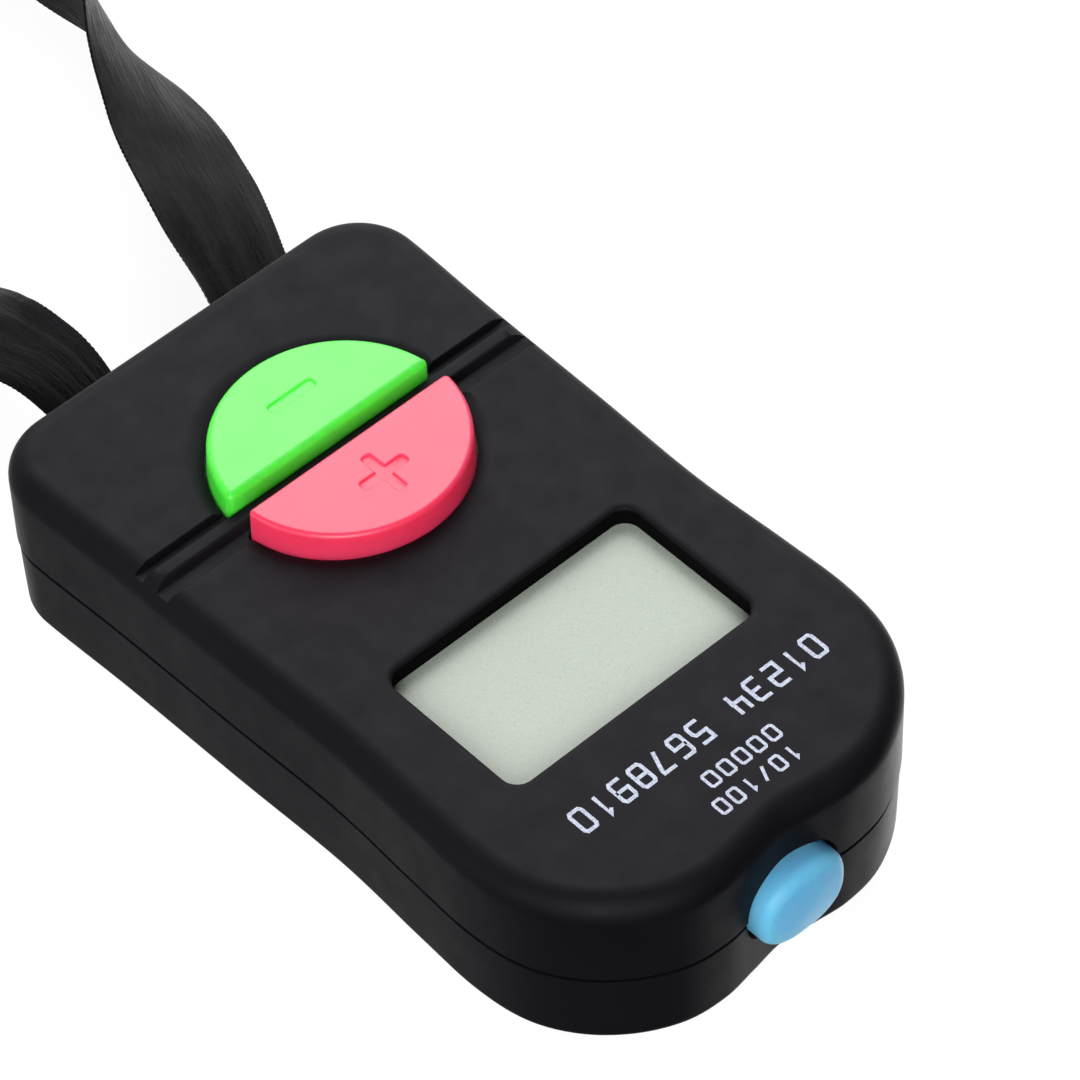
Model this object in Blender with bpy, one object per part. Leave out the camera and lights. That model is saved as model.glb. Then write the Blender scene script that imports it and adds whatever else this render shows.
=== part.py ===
"""Hand tally counter with a ribbon lanyard, lying on its back.

Units are metres, +Z up. The front face looks up, +Y points to the reset button
and +X to the right of a reader who holds the reset end away. The origin is under
the middle of the counter, on the surface that it lies on. Lengths along the case
are stated from its flat ribbon end, and along() turns them into Y.
"""

import math

import bmesh
import bpy
from mathutils import Vector

MM = 0.001

# Case
CASE_LENGTH = 60.8 * MM
RESET_STANDS_OUT = 1.6 * MM
RIBBON_END_Y = -(CASE_LENGTH + RESET_STANDS_OUT) / 2
CASE_HALF_WIDTH = 17.5 * MM
CASE_HEIGHT = 14.4 * MM
CORNER_RADIUS = 5.2 * MM
TOP_EDGE_RADIUS = 1.9 * MM
BASE_EDGE_RADIUS = 0.9 * MM
PARTING_Z = 6.7 * MM
PARTING_GAP = 0.3 * MM
FRONT_WALL = 1.6 * MM
BACK_WALL = 1.8 * MM
FACE_THICKNESS = 1.4 * MM
FLOOR_THICKNESS = 1.9 * MM
LIP_HEIGHT = 1.35 * MM
LIP_INSET = 1.2 * MM
LIP_REBATE = 0.9 * MM
BACK_STEP = 0.1 * MM
BACK_DRAFT = 0.12 * MM

# Half of the waisted outline: (half width, distance from the ribbon end).
SIDE_POINTS = (
    (17.5, 5.2),
    (17.15, 14.0),
    (16.9, 25.0),
    (16.6, 35.0),
    (16.95, 43.0),
    (17.1, 48.6),
    (16.45, 52.8),
    (14.7, 56.1),
    (12.0, 58.7),
    (8.8, 60.35),
    (5.6, 60.8),
    (2.8, 60.5),
    (0.0, 60.15),
)

# Count buttons: two halves of one disc, split by a bar of the front shell
BUTTON_CENTRE = 17.6 * MM
BUTTON_RADIUS = 8.95 * MM
BUTTON_HEIGHT = 2.0 * MM
BUTTON_GAP = 0.3 * MM
BUTTON_TRAVEL = 0.9 * MM
BAR_LOW = 16.74 * MM
PLUS_HOLE_LOW = 18.13 * MM
GROOVES = {"minus": (15.6 * MM, 16.71 * MM), "plus": (17.65 * MM, 19.1 * MM)}
GROOVE_DEPTH = 0.6 * MM
FLANGE_RADIUS = 9.9 * MM
FLANGE_THICKNESS = 1.1 * MM
UNDER_FACE_GAP = 0.2 * MM
SYMBOL_LENGTH = 3.85 * MM
SYMBOL_WIDTH = 0.55 * MM
SYMBOL_DEPTH = 0.35 * MM
MINUS_Y = 12.65 * MM
PLUS_Y = 22.1 * MM
SYMBOL_X = -0.3 * MM
DOME_Y = {"minus": 12.6 * MM, "plus": 22.6 * MM}

# Display
WINDOW_HALF_WIDTH = 10.75 * MM
WINDOW_LOW = 33.9 * MM
WINDOW_HIGH = 46.6 * MM
WINDOW_FLARE = 0.2 * MM
WINDOW_CORNER = 1.3 * MM
DISPLAY_SIZE = (24.4 * MM, 15.6 * MM)
DISPLAY_TOP_GAP = 0.2 * MM
POLARIZER_THICKNESS = 0.25 * MM
GLASS_THICKNESS = 1.2 * MM

# Circuit board
BOARD_TOP = 9.2 * MM
BOARD_THICKNESS = 1.0 * MM
BOARD_HALF_WIDTH = 13.2 * MM
BOARD_LOW = 9.6 * MM
BOARD_HIGH = 49.6 * MM
BOARD_TONGUE_HALF_WIDTH = 6.0 * MM
BOARD_TONGUE_HIGH = 54.2 * MM

# Reset button
RESET_Z = 7.2 * MM
RESET_HALF_WIDTH = 3.85 * MM
RESET_HALF_HEIGHT = 3.85 * MM
RESET_CORNER = 3.4 * MM
RESET_GAP = 0.3 * MM
RESET_TRAVEL = 0.6 * MM
RESET_FLANGE_Y = (56.6 * MM, 57.7 * MM)

# Battery: one LR44 button cell behind a screwed door
CELL_RADIUS = 5.8 * MM
CELL_HEIGHT = 5.4 * MM
CELL_Y = 24.0 * MM
CELL_Z = 1.2 * MM
DOOR_HALF_WIDTH = 7.7 * MM
DOOR_LOW = 15.7 * MM
DOOR_HIGH = 37.3 * MM
DOOR_THICKNESS = 1.0 * MM
DOOR_SCREW_Y = 33.6 * MM

# Screws: (x, distance from the ribbon end)
CASE_SCREWS = ((-12.6, 5.3), (12.6, 5.3), (-11.4, 52.6), (11.4, 52.6))
BOARD_SCREWS = ((-11.2, 11.8), (11.2, 11.8), (-11.2, 28.6), (11.2, 28.6))

# Lanyard: one ribbon, 10 mm wide, that leaves by one slot and comes back by the other
SLOT_X = 7.0 * MM
SLOT_WIDTH = 8.0 * MM
SLOT_Z = (5.4 * MM, 8.1 * MM)
STRAND_RADIUS = 0.9 * MM
STRAND_Z = 6.7 * MM
KNOT_RADII = (2.8 * MM, 2.0 * MM, 2.0 * MM)
KNOT_Y = 4.7 * MM
RIBBON_HEIGHT = 10.2 * MM
COIL_CENTRE = (15.3 * MM, -66.5 * MM)
COIL_RADIUS = 37.2 * MM

# Routes in millimetres: x, distance from the ribbon end (negative is outside), z.
LEFT_ROUTE = (
    (-6.4, 2.1, 6.7),
    (-7.9, -0.2, 6.8),
    (-9.8, -4.5, 7.3),
    (-13.0, -13.0, 6.9),
    (-15.5, -20.0, 6.3),
    (-17.2, -25.5, 5.8),
    (-19.3, -32.0, 5.4),
    (-20.4, -37.1, 5.2),
    (-21.0, -44.0, 5.2),
    (-21.4, -52.0, 5.2),
)
RIGHT_ROUTE = (
    (5.4, 2.1, 6.7),
    (5.6, -0.2, 6.8),
    (5.3, -4.0, 7.7),
    (5.1, -8.0, 7.7),
    (5.4, -12.0, 7.0),
    (5.8, -16.0, 6.2),
    (5.2, -21.0, 5.6),
    (2.9, -26.0, 5.3),
    (-0.2, -29.9, 5.2),
)
STRAND_POINT_SPACING = 3.6 * MM


def along(distance):
    """Y of a place this far from the flat ribbon end."""
    return RIBBON_END_Y + distance


def clear_scene():
    for obj in list(bpy.data.objects):
        bpy.data.objects.remove(obj, do_unlink=True)


def material(name, colour, roughness, metallic=0.0):
    made = bpy.data.materials.new(name)
    made.use_nodes = True
    shader = made.node_tree.nodes["Principled BSDF"]
    shader.inputs["Base Color"].default_value = (*colour, 1.0)
    shader.inputs["Roughness"].default_value = roughness
    shader.inputs["Metallic"].default_value = metallic
    return made


def object_from(name, bm, finish=None, origin=(0, 0, 0), smooth_below=35):
    """An object whose own origin is at the given place, from a bmesh in world coordinates."""
    bmesh.ops.recalc_face_normals(bm, faces=bm.faces)
    bmesh.ops.translate(bm, verts=bm.verts, vec=-Vector(origin))
    mesh = bpy.data.meshes.new(name)
    bm.to_mesh(mesh)
    bm.free()
    mesh.shade_smooth()
    mesh.set_sharp_from_angle(angle=math.radians(smooth_below))
    obj = bpy.data.objects.new(name, mesh)
    obj.location = origin
    bpy.context.scene.collection.objects.link(obj)
    if finish:
        mesh.materials.append(finish)
    return obj


def boolean(target, operation, tool):
    tool.hide_render = True
    tool.display_type = "WIRE"
    step = target.modifiers.new(tool.name, "BOOLEAN")
    step.operation = operation
    step.solver = "EXACT"
    step.object = tool


def cut(target, tool):
    boolean(target, "DIFFERENCE", tool)


def add(target, tool):
    boolean(target, "UNION", tool)


def loft(rings):
    """A closed body through rings of equal length, capped at both ends."""
    bm = bmesh.new()
    made = [[bm.verts.new(point) for point in ring] for ring in rings]
    for low, high in zip(made, made[1:]):
        for i in range(len(low)):
            j = (i + 1) % len(low)
            bm.faces.new((low[i], low[j], high[j], high[i]))
    bm.faces.new(reversed(made[0]))
    bm.faces.new(made[-1])
    return bm


def at_height(outline, z):
    return [(x, y, z) for x, y in outline]


def prism(outline, low, high):
    return loft([at_height(outline, low), at_height(outline, high)])


def box(x_range, y_range, z_range):
    (x0, x1), (y0, y1) = x_range, y_range
    return prism(((x0, y0), (x1, y0), (x1, y1), (x0, y1)), *z_range)


def circle(centre, radius, sides):
    turns = [math.tau * i / sides for i in range(sides)]
    return [(centre[0] + radius * math.cos(a), centre[1] + radius * math.sin(a)) for a in turns]


def turned(centre, profile, sides):
    """A body turned about a vertical axis from (radius, z) pairs."""
    return loft([at_height(circle(centre, radius, sides), z) for radius, z in profile])


def rounded_rectangle(x_range, y_range, radius, steps=4):
    (x0, x1), (y0, y1) = x_range, y_range
    outline = []
    for turn, x, y in ((0, x1, y1), (1, x0, y1), (2, x0, y0), (3, x1, y0)):
        inner_x = x - radius if x == x1 else x + radius
        inner_y = y - radius if y == y1 else y + radius
        for step in range(steps + 1):
            angle = math.pi / 2 * (turn + step / steps)
            outline.append((inner_x + radius * math.cos(angle), inner_y + radius * math.sin(angle)))
    return outline


def through(points, steps, start=None, end=None):
    """A smooth curve through the points, with the given end tangents."""
    points = [Vector(point) for point in points]
    first = Vector(start) if start else points[1] - points[0]
    last = Vector(end) if end else points[-1] - points[-2]
    slopes = [(b - a) / 2 for a, b in zip(points, points[2:])]
    slopes = [first, *slopes, last]
    curve = []
    for a, b, ta, tb in zip(points, points[1:], slopes, slopes[1:]):
        for step in range(steps):
            t = step / steps
            curve.append(
                a * (2 * t**3 - 3 * t**2 + 1)
                + ta * (t**3 - 2 * t**2 + t)
                + b * (3 * t**2 - 2 * t**3)
                + tb * (t**3 - t**2)
            )
    curve.append(points[-1])
    return curve


def case_half_curve(steps):
    """Points and outward normals of the right half, from the ribbon end to the notch."""
    centre = Vector((CASE_HALF_WIDTH - CORNER_RADIUS, along(CORNER_RADIUS)))
    points = [Vector((0, RIBBON_END_Y))]
    normals = [Vector((0, -1))]
    corner_steps = 3 * steps
    for step in range(corner_steps):
        angle = math.pi / 2 * (step / corner_steps - 1)
        normal = Vector((math.cos(angle), math.sin(angle)))
        points.append(centre + normal * CORNER_RADIUS)
        normals.append(normal)
    side = [(x * MM, along(y * MM)) for x, y in SIDE_POINTS]
    curve = through(side, steps, start=(0, 6 * MM), end=(-2.5 * MM, 0))
    for i, point in enumerate(curve):
        before = curve[max(i - 1, 0)]
        after = curve[min(i + 1, len(curve) - 1)]
        direction = (after - before).normalized()
        points.append(point)
        normals.append(Vector((direction.y, -direction.x)))
    normals[-1] = Vector((0, 1))
    return points, normals


def case_outline(inset, steps=2):
    """The whole outline, moved inwards by inset, counterclockwise from the ribbon end."""
    points, normals = case_half_curve(steps)
    right = [point - normal * inset for point, normal in zip(points, normals)]
    left = [Vector((-point.x, point.y)) for point in right[1:-1]]
    return [tuple(point) for point in right + left[::-1]]


def case_loft(levels):
    return loft([at_height(case_outline(inset), z) for z, inset in levels])


def rounded_edge(z_edge, radius, inset, upwards, steps=4):
    """(z, inset) levels of a rounded edge, going up."""
    levels = []
    for step in range(steps + 1):
        angle = math.pi / 2 * step / steps
        if upwards:
            levels.append((z_edge - radius + radius * math.sin(angle), inset + radius * (1 - math.cos(angle))))
        else:
            levels.append((z_edge + radius - radius * math.cos(angle), inset + radius * (1 - math.sin(angle))))
    return levels


def half_disc(radius, straight, side, steps=18):
    """A half disc about the button centre: side -1 is the minus half, 1 the plus half."""
    centre = along(BUTTON_CENTRE)
    straight = along(straight)
    angle = math.asin((straight - centre) * side / radius)
    turns = [angle + (math.pi - 2 * angle) * i / steps for i in range(steps + 1)]
    outline = [(radius * math.cos(a), centre + side * radius * math.sin(a)) for a in turns]
    return outline[::side]


FACE_UNDERSIDE = CASE_HEIGHT - FACE_THICKNESS
BOARD_UNDERSIDE = BOARD_TOP - BOARD_THICKNESS
DISPLAY_Y = (WINDOW_LOW + WINDOW_HIGH) / 2


def make_front_shell(finish):
    bottom = PARTING_Z + PARTING_GAP / 2
    levels = [(bottom, 0.0), *rounded_edge(CASE_HEIGHT, TOP_EDGE_RADIUS, 0.0, upwards=True)]
    shell = object_from("front_shell", case_loft(levels), finish)
    rebate_top = PARTING_Z + LIP_HEIGHT + 0.25 * MM
    cavity = [
        (bottom - 1 * MM, LIP_REBATE),
        (rebate_top, LIP_REBATE),
        (rebate_top, FRONT_WALL),
        (FACE_UNDERSIDE, FRONT_WALL),
    ]
    cut(shell, object_from("cut_front_cavity", case_loft(cavity)))
    for i, (x, y) in enumerate(CASE_SCREWS):
        centre = (x * MM, along(y * MM))
        pillar = ((2.4 * MM, 7.0 * MM), (2.4 * MM, FACE_UNDERSIDE + 0.2 * MM))
        add(shell, object_from(f"add_case_pillar_{i}", turned(centre, pillar, 16)))
        pilot = ((1.1 * MM, 6.8 * MM), (1.1 * MM, 11.6 * MM))
        cut(shell, object_from(f"cut_case_pilot_{i}", turned(centre, pilot, 12)))
    for i, (x, y) in enumerate(BOARD_SCREWS):
        centre = (x * MM, along(y * MM))
        pillar = ((1.9 * MM, BOARD_TOP + 0.2 * MM), (1.9 * MM, FACE_UNDERSIDE + 0.2 * MM))
        add(shell, object_from(f"add_board_pillar_{i}", turned(centre, pillar, 14)))
        pilot = ((0.85 * MM, BOARD_TOP), (0.85 * MM, 12.0 * MM))
        cut(shell, object_from(f"cut_board_pilot_{i}", turned(centre, pilot, 12)))
    cut(shell, object_from("cut_window", window_loft()))
    for name, side, straight in (("minus", -1, BAR_LOW), ("plus", 1, PLUS_HOLE_LOW)):
        outline = half_disc(BUTTON_RADIUS + BUTTON_GAP, straight, side)
        hole = prism(outline, FACE_UNDERSIDE - 1 * MM, CASE_HEIGHT + 1 * MM)
        cut(shell, object_from(f"cut_{name}_hole", hole))
        low, high = GROOVES[name]
        groove = box(
            (-20 * MM, 20 * MM),
            (along(low), along(high)),
            (CASE_HEIGHT - GROOVE_DEPTH, CASE_HEIGHT + 1 * MM),
        )
        cut(shell, object_from(f"cut_{name}_groove", groove))
    cut_end_openings(shell, "front")
    return shell


def window_loft():
    """The window widens a little towards the outside."""
    rings = []
    for z, flare in ((FACE_UNDERSIDE - 1 * MM, 0.0), (CASE_HEIGHT - 0.9 * MM, 0.0), (CASE_HEIGHT, WINDOW_FLARE)):
        x = WINDOW_HALF_WIDTH + flare
        outline = rounded_rectangle(
            (-x, x),
            (along(WINDOW_LOW - flare), along(WINDOW_HIGH + flare * 0.5)),
            WINDOW_CORNER,
        )
        rings.append(at_height(outline, z))
    rings.append([(x, y, z + 1 * MM) for x, y, z in rings[-1]])
    return loft(rings)


def reset_outline(grow=0.0, steps=6):
    """The pillow shape of the reset button, as (x, z) pairs."""
    return rounded_rectangle(
        (-RESET_HALF_WIDTH - grow, RESET_HALF_WIDTH + grow),
        (RESET_Z - RESET_HALF_HEIGHT - grow, RESET_Z + RESET_HALF_HEIGHT + grow),
        RESET_CORNER + grow,
        steps,
    )


def along_y(outline, distance, x_scale=1.0, z_scale=1.0):
    """An outline of (x, z) pairs set upright at this distance along the case."""
    return [(x * x_scale, along(distance), RESET_Z + (z - RESET_Z) * z_scale) for x, z in outline]


def cut_end_openings(shell, name):
    """The lanyard slots and the reset opening straddle the parting line."""
    for side, x in (("left", -SLOT_X), ("right", SLOT_X)):
        slot = box((x - SLOT_WIDTH / 2, x + SLOT_WIDTH / 2), (along(-1 * MM), along(2.4 * MM)), SLOT_Z)
        cut(shell, object_from(f"cut_{name}_slot_{side}", slot))
    outline = reset_outline(RESET_GAP)
    opening = loft([along_y(outline, 57.8 * MM), along_y(outline, 63 * MM)])
    cut(shell, object_from(f"cut_{name}_reset", opening))


def make_back_shell(finish):
    top = PARTING_Z - PARTING_GAP / 2
    base_inset = BACK_STEP + BACK_DRAFT
    levels = [
        *rounded_edge(0.0, BASE_EDGE_RADIUS, base_inset, upwards=False),
        (top, BACK_STEP),
        (top, LIP_INSET),
        (PARTING_Z + LIP_HEIGHT, LIP_INSET),
    ]
    shell = object_from("back_shell", case_loft(levels), finish)
    cavity = [(FLOOR_THICKNESS, BACK_WALL + 0.1 * MM), (10 * MM, BACK_WALL + 0.1 * MM)]
    cut(shell, object_from("cut_back_cavity", case_loft(cavity)))
    for i, (x, y) in enumerate(CASE_SCREWS):
        centre = (x * MM, along(y * MM))
        boss = ((3.1 * MM, FLOOR_THICKNESS - 0.4 * MM), (3.1 * MM, PARTING_Z))
        add(shell, object_from(f"add_case_boss_{i}", turned(centre, boss, 20)))
        bore = (
            (2.1 * MM, -1 * MM),
            (2.1 * MM, 2.6 * MM),
            (1.3 * MM, 2.6 * MM),
            (1.3 * MM, 8 * MM),
        )
        cut(shell, object_from(f"cut_case_bore_{i}", turned(centre, bore, 16)))
    cell = (0, along(CELL_Y))
    wall = ((7.6 * MM, FLOOR_THICKNESS - 0.4 * MM), (7.6 * MM, 6.2 * MM))
    add(shell, object_from("add_cell_wall", turned(cell, wall, 32)))
    well = ((CELL_RADIUS + 0.4 * MM, -1 * MM), (CELL_RADIUS + 0.4 * MM, 8 * MM))
    cut(shell, object_from("cut_cell_well", turned(cell, well, 32)))
    contact_slot = box(
        (5 * MM, 9 * MM),
        (along(CELL_Y - 2.5 * MM), along(CELL_Y + 2.5 * MM)),
        (FLOOR_THICKNESS + 0.1 * MM, 8 * MM),
    )
    cut(shell, object_from("cut_contact_slot", contact_slot))
    screw = (0, along(DOOR_SCREW_Y))
    boss = ((2.4 * MM, FLOOR_THICKNESS - 0.4 * MM), (2.4 * MM, 5.6 * MM))
    add(shell, object_from("add_door_boss", turned(screw, boss, 16)))
    pilot = ((1.05 * MM, 0.5 * MM), (1.05 * MM, 5.0 * MM))
    cut(shell, object_from("cut_door_pilot", turned(screw, pilot, 12)))
    gap = 0.3 * MM
    recess = rounded_rectangle(
        (-DOOR_HALF_WIDTH - gap, DOOR_HALF_WIDTH + gap),
        (along(DOOR_LOW - gap), along(DOOR_HIGH + gap)),
        1.5 * MM,
    )
    cut(shell, object_from("cut_door_recess", prism(recess, -1 * MM, DOOR_THICKNESS + 0.15 * MM)))
    cut_end_openings(shell, "back")
    return shell


def make_count_button(name, side, straight, symbol_y, finish):
    """A half disc with a flange that stays under the face and a foot over the dome."""
    flange_top = FACE_UNDERSIDE - UNDER_FACE_GAP
    flange_low = flange_top - FLANGE_THICKNESS
    top = CASE_HEIGHT + BUTTON_HEIGHT
    edge = straight + side * BUTTON_GAP
    flange_edge = straight - side * 0.4 * MM
    levels = (
        (flange_low, FLANGE_RADIUS, flange_edge),
        (flange_top, FLANGE_RADIUS, flange_edge),
        (flange_top, BUTTON_RADIUS, edge),
        (top - 0.35 * MM, BUTTON_RADIUS, edge),
        (top - 0.1 * MM, BUTTON_RADIUS - 0.1 * MM, edge + side * 0.1 * MM),
        (top, BUTTON_RADIUS - 0.35 * MM, edge + side * 0.35 * MM),
    )
    rings = [at_height(half_disc(radius, line, side), z) for z, radius, line in levels]
    dome_centre = (0, along(DOME_Y[name]))
    origin = (0, dome_centre[1], flange_low)
    button = object_from(f"{name}_button", loft(rings), finish, origin)
    foot = ((1.6 * MM, BOARD_TOP + 1.6 * MM), (1.6 * MM, flange_low + 0.3 * MM))
    add(button, object_from(f"add_{name}_foot", turned(dome_centre, foot, 16)))
    arms = [(SYMBOL_LENGTH, SYMBOL_WIDTH)]
    if name == "plus":
        arms.append((SYMBOL_WIDTH, SYMBOL_LENGTH))
    for i, (length, width) in enumerate(arms):
        y = along(symbol_y)
        groove = box(
            (SYMBOL_X - length / 2, SYMBOL_X + length / 2),
            (y - width / 2, y + width / 2),
            (top - SYMBOL_DEPTH, top + 1 * MM),
        )
        cut(button, object_from(f"cut_{name}_symbol_{i}", groove))
    return button


def make_dome(name, finish):
    """A silicone dome that snaps down under its button."""
    base = BOARD_TOP + 0.2 * MM
    profile = (
        (3.3 * MM, base),
        (3.3 * MM, base + 0.3 * MM),
        (2.2 * MM, base + 0.8 * MM),
        (1.5 * MM, base + 1.1 * MM),
    )
    return object_from(f"{name}_dome", turned((0, along(DOME_Y[name])), profile, 20), finish)


def make_display(finishes):
    top = FACE_UNDERSIDE - DISPLAY_TOP_GAP
    low = top - POLARIZER_THICKNESS
    width, height = DISPLAY_SIZE
    y_range = (along(DISPLAY_Y) - height / 2, along(DISPLAY_Y) + height / 2)
    outline = rounded_rectangle((-width / 2, width / 2), y_range, 0.5 * MM, 2)
    object_from("lcd_polarizer", prism(outline, low, top), finishes["polarizer"])
    glass_top = low - 0.2 * MM
    glass_low = glass_top - GLASS_THICKNESS
    object_from("lcd_glass", prism(outline, glass_low, glass_top), finishes["glass"])
    frame_low = BOARD_TOP + 0.2 * MM
    rim = 1.4 * MM
    outer = rounded_rectangle(
        (-width / 2 - rim, width / 2 + rim), (y_range[0] - rim, y_range[1] + rim), 1 * MM, 2
    )
    frame = object_from("lcd_frame", prism(outer, frame_low, top), finishes["frame"])
    gap = 0.3 * MM
    seat = rounded_rectangle(
        (-width / 2 - gap, width / 2 + gap), (y_range[0] - gap, y_range[1] + gap), 0.6 * MM, 2
    )
    cut(frame, object_from("cut_display_seat", prism(seat, glass_low - 0.3 * MM, top + 1 * MM)))
    inner = rounded_rectangle(
        (-width / 2 + 1 * MM, width / 2 - 1 * MM), (y_range[0] + 0.5 * MM, y_range[1] - 1 * MM), 0.6 * MM, 2
    )
    cut(frame, object_from("cut_display_bore", prism(inner, frame_low - 1 * MM, top)))
    strip = box(
        (-10.6 * MM, 10.6 * MM),
        (y_range[0] + 0.8 * MM, y_range[0] + 2.6 * MM),
        (frame_low, glass_low - 0.2 * MM),
    )
    object_from("zebra_strip", strip, finishes["rubber"])


def make_board(finishes):
    outline = [
        (-BOARD_HALF_WIDTH, along(BOARD_LOW)),
        (BOARD_HALF_WIDTH, along(BOARD_LOW)),
        (BOARD_HALF_WIDTH, along(BOARD_HIGH)),
        (BOARD_TONGUE_HALF_WIDTH, along(BOARD_HIGH)),
        (BOARD_TONGUE_HALF_WIDTH, along(BOARD_TONGUE_HIGH)),
        (-BOARD_TONGUE_HALF_WIDTH, along(BOARD_TONGUE_HIGH)),
        (-BOARD_TONGUE_HALF_WIDTH, along(BOARD_HIGH)),
        (-BOARD_HALF_WIDTH, along(BOARD_HIGH)),
    ]
    board = object_from("main_pcb", prism(outline, BOARD_UNDERSIDE, BOARD_TOP), finishes["board"])
    for i, (x, y) in enumerate(BOARD_SCREWS):
        hole = ((1.0 * MM, 7 * MM), (1.0 * MM, 10 * MM))
        cut(board, object_from(f"cut_board_hole_{i}", turned((x * MM, along(y * MM)), hole, 12)))
    under = BOARD_UNDERSIDE - 0.2 * MM
    blob = (
        (1.4 * MM, under - 1.2 * MM),
        (3.2 * MM, under - 0.9 * MM),
        (4.4 * MM, under - 0.3 * MM),
        (4.6 * MM, under),
    )
    object_from("chip_blob", turned((0, along(42 * MM)), blob, 20), finishes["epoxy"])
    capacitor = box(
        (8.0 * MM, 10.0 * MM), (along(38.0 * MM), along(39.2 * MM)), (under - 0.8 * MM, under)
    )
    object_from("pcb_capacitor", capacitor, finishes["ceramic"])


def make_reset(finishes):
    outline = reset_outline()
    flange = reset_outline(1.0 * MM)
    low, high = RESET_FLANGE_Y
    front = CASE_LENGTH + RESET_STANDS_OUT
    rings = [
        along_y(flange, low),
        along_y(flange, high),
        along_y(outline, high),
        along_y(outline, front - 1.0 * MM),
        along_y(outline, front - 0.5 * MM, 0.93, 0.91),
        along_y(outline, front - 0.15 * MM, 0.78, 0.74),
        along_y(outline, front, 0.5, 0.45),
    ]
    origin = (0, along(low), RESET_Z)
    button = object_from("reset_button", loft(rings), finishes["blue"], origin)
    stem = box(
        (-1.5 * MM, 1.5 * MM),
        (along(55.9 * MM), along(low + 0.3 * MM)),
        (RESET_Z - 1.5 * MM, RESET_Z + 0.8 * MM),
    )
    add(button, object_from("add_reset_stem", stem))
    body_z = (4.6 * MM, BOARD_UNDERSIDE - 0.2 * MM)
    switch = object_from(
        "reset_switch_body",
        box((-3 * MM, 3 * MM), (along(50 * MM), along(53.6 * MM)), body_z),
        finishes["steel"],
    )
    pocket = box(
        (-1.5 * MM, 1.5 * MM), (along(52.2 * MM), along(54 * MM)), (5.4 * MM, 7.4 * MM)
    )
    cut(switch, object_from("cut_switch_pocket", pocket))
    plunger = box(
        (-1.2 * MM, 1.2 * MM), (along(53.0 * MM), along(55.7 * MM)), (5.7 * MM, 7.1 * MM)
    )
    object_from(
        "reset_switch_plunger", plunger, finishes["black"], (0, along(53.0 * MM), RESET_Z - 0.8 * MM)
    )


def make_battery(finishes):
    cell = (0, along(CELL_Y))
    top = CELL_Z + CELL_HEIGHT
    profile = (
        (CELL_RADIUS - 0.4 * MM, CELL_Z),
        (CELL_RADIUS, CELL_Z + 0.3 * MM),
        (CELL_RADIUS, top - 0.6 * MM),
        (CELL_RADIUS - 0.5 * MM, top - 0.3 * MM),
        (CELL_RADIUS - 1.1 * MM, top - 0.3 * MM),
        (CELL_RADIUS - 1.3 * MM, top),
    )
    object_from("battery_cell", turned(cell, profile, 32), finishes["cell"])
    side_contact = box(
        (6.35 * MM, 6.65 * MM),
        (along(CELL_Y - 1.8 * MM), along(CELL_Y + 1.8 * MM)),
        (2.4 * MM, BOARD_UNDERSIDE - 0.2 * MM),
    )
    object_from("battery_contact_positive", side_contact, finishes["contact"])
    leaf_path = ((-2.6, 6.9), (1.6, 6.9), (3.4, 7.65), (5.0, 7.65), (5.0, 7.9), (3.3, 7.9), (1.5, 7.15), (-2.6, 7.15))
    rings = []
    for offset in (-1.8 * MM, 1.8 * MM):
        rings.append([(x * MM, along(CELL_Y) + offset, z * MM) for x, z in leaf_path])
    object_from("battery_contact_negative", loft(rings), finishes["contact"])


def make_battery_door(finishes):
    y_range = (along(DOOR_LOW), along(DOOR_HIGH))
    outline = rounded_rectangle((-DOOR_HALF_WIDTH, DOOR_HALF_WIDTH), y_range, 1.2 * MM)
    door = object_from("battery_door", prism(outline, 0.0, DOOR_THICKNESS), finishes["black"])
    screw = (0, along(DOOR_SCREW_Y))
    sink = ((2.3 * MM, -0.5 * MM), (2.3 * MM, 0.1 * MM), (1.3 * MM, 1.0 * MM), (1.3 * MM, 2 * MM))
    cut(door, object_from("cut_door_sink", turned(screw, sink, 20)))
    for i in range(4):
        y = along(18.4 * MM + i * 1.3 * MM)
        rib = box((-3.5 * MM, 3.5 * MM), (y, y + 0.6 * MM), (-1 * MM, 0.35 * MM))
        cut(door, object_from(f"cut_door_grip_{i}", rib))
    profile = (
        (1.9 * MM, 0.1 * MM),
        (0.9 * MM, 1.0 * MM),
        (0.8 * MM, 1.2 * MM),
        (0.8 * MM, 4.4 * MM),
        (0.4 * MM, 4.8 * MM),
    )
    made = object_from("battery_door_screw", turned(screw, profile, 16), finishes["steel"])
    cut_cross(made, screw, -0.1 * MM, 0.5 * MM, 1.3 * MM)


def cut_cross(target, centre, low, high, reach):
    """A cross recess in a screw head that faces down."""
    x, y = centre
    half = 0.28 * MM
    for i, (rx, ry) in enumerate(((reach, half), (half, reach))):
        slot = box((x - rx, x + rx), (y - ry, y + ry), (low, high))
        cut(target, object_from(f"cut_{target.name}_cross_{i}", slot))


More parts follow.
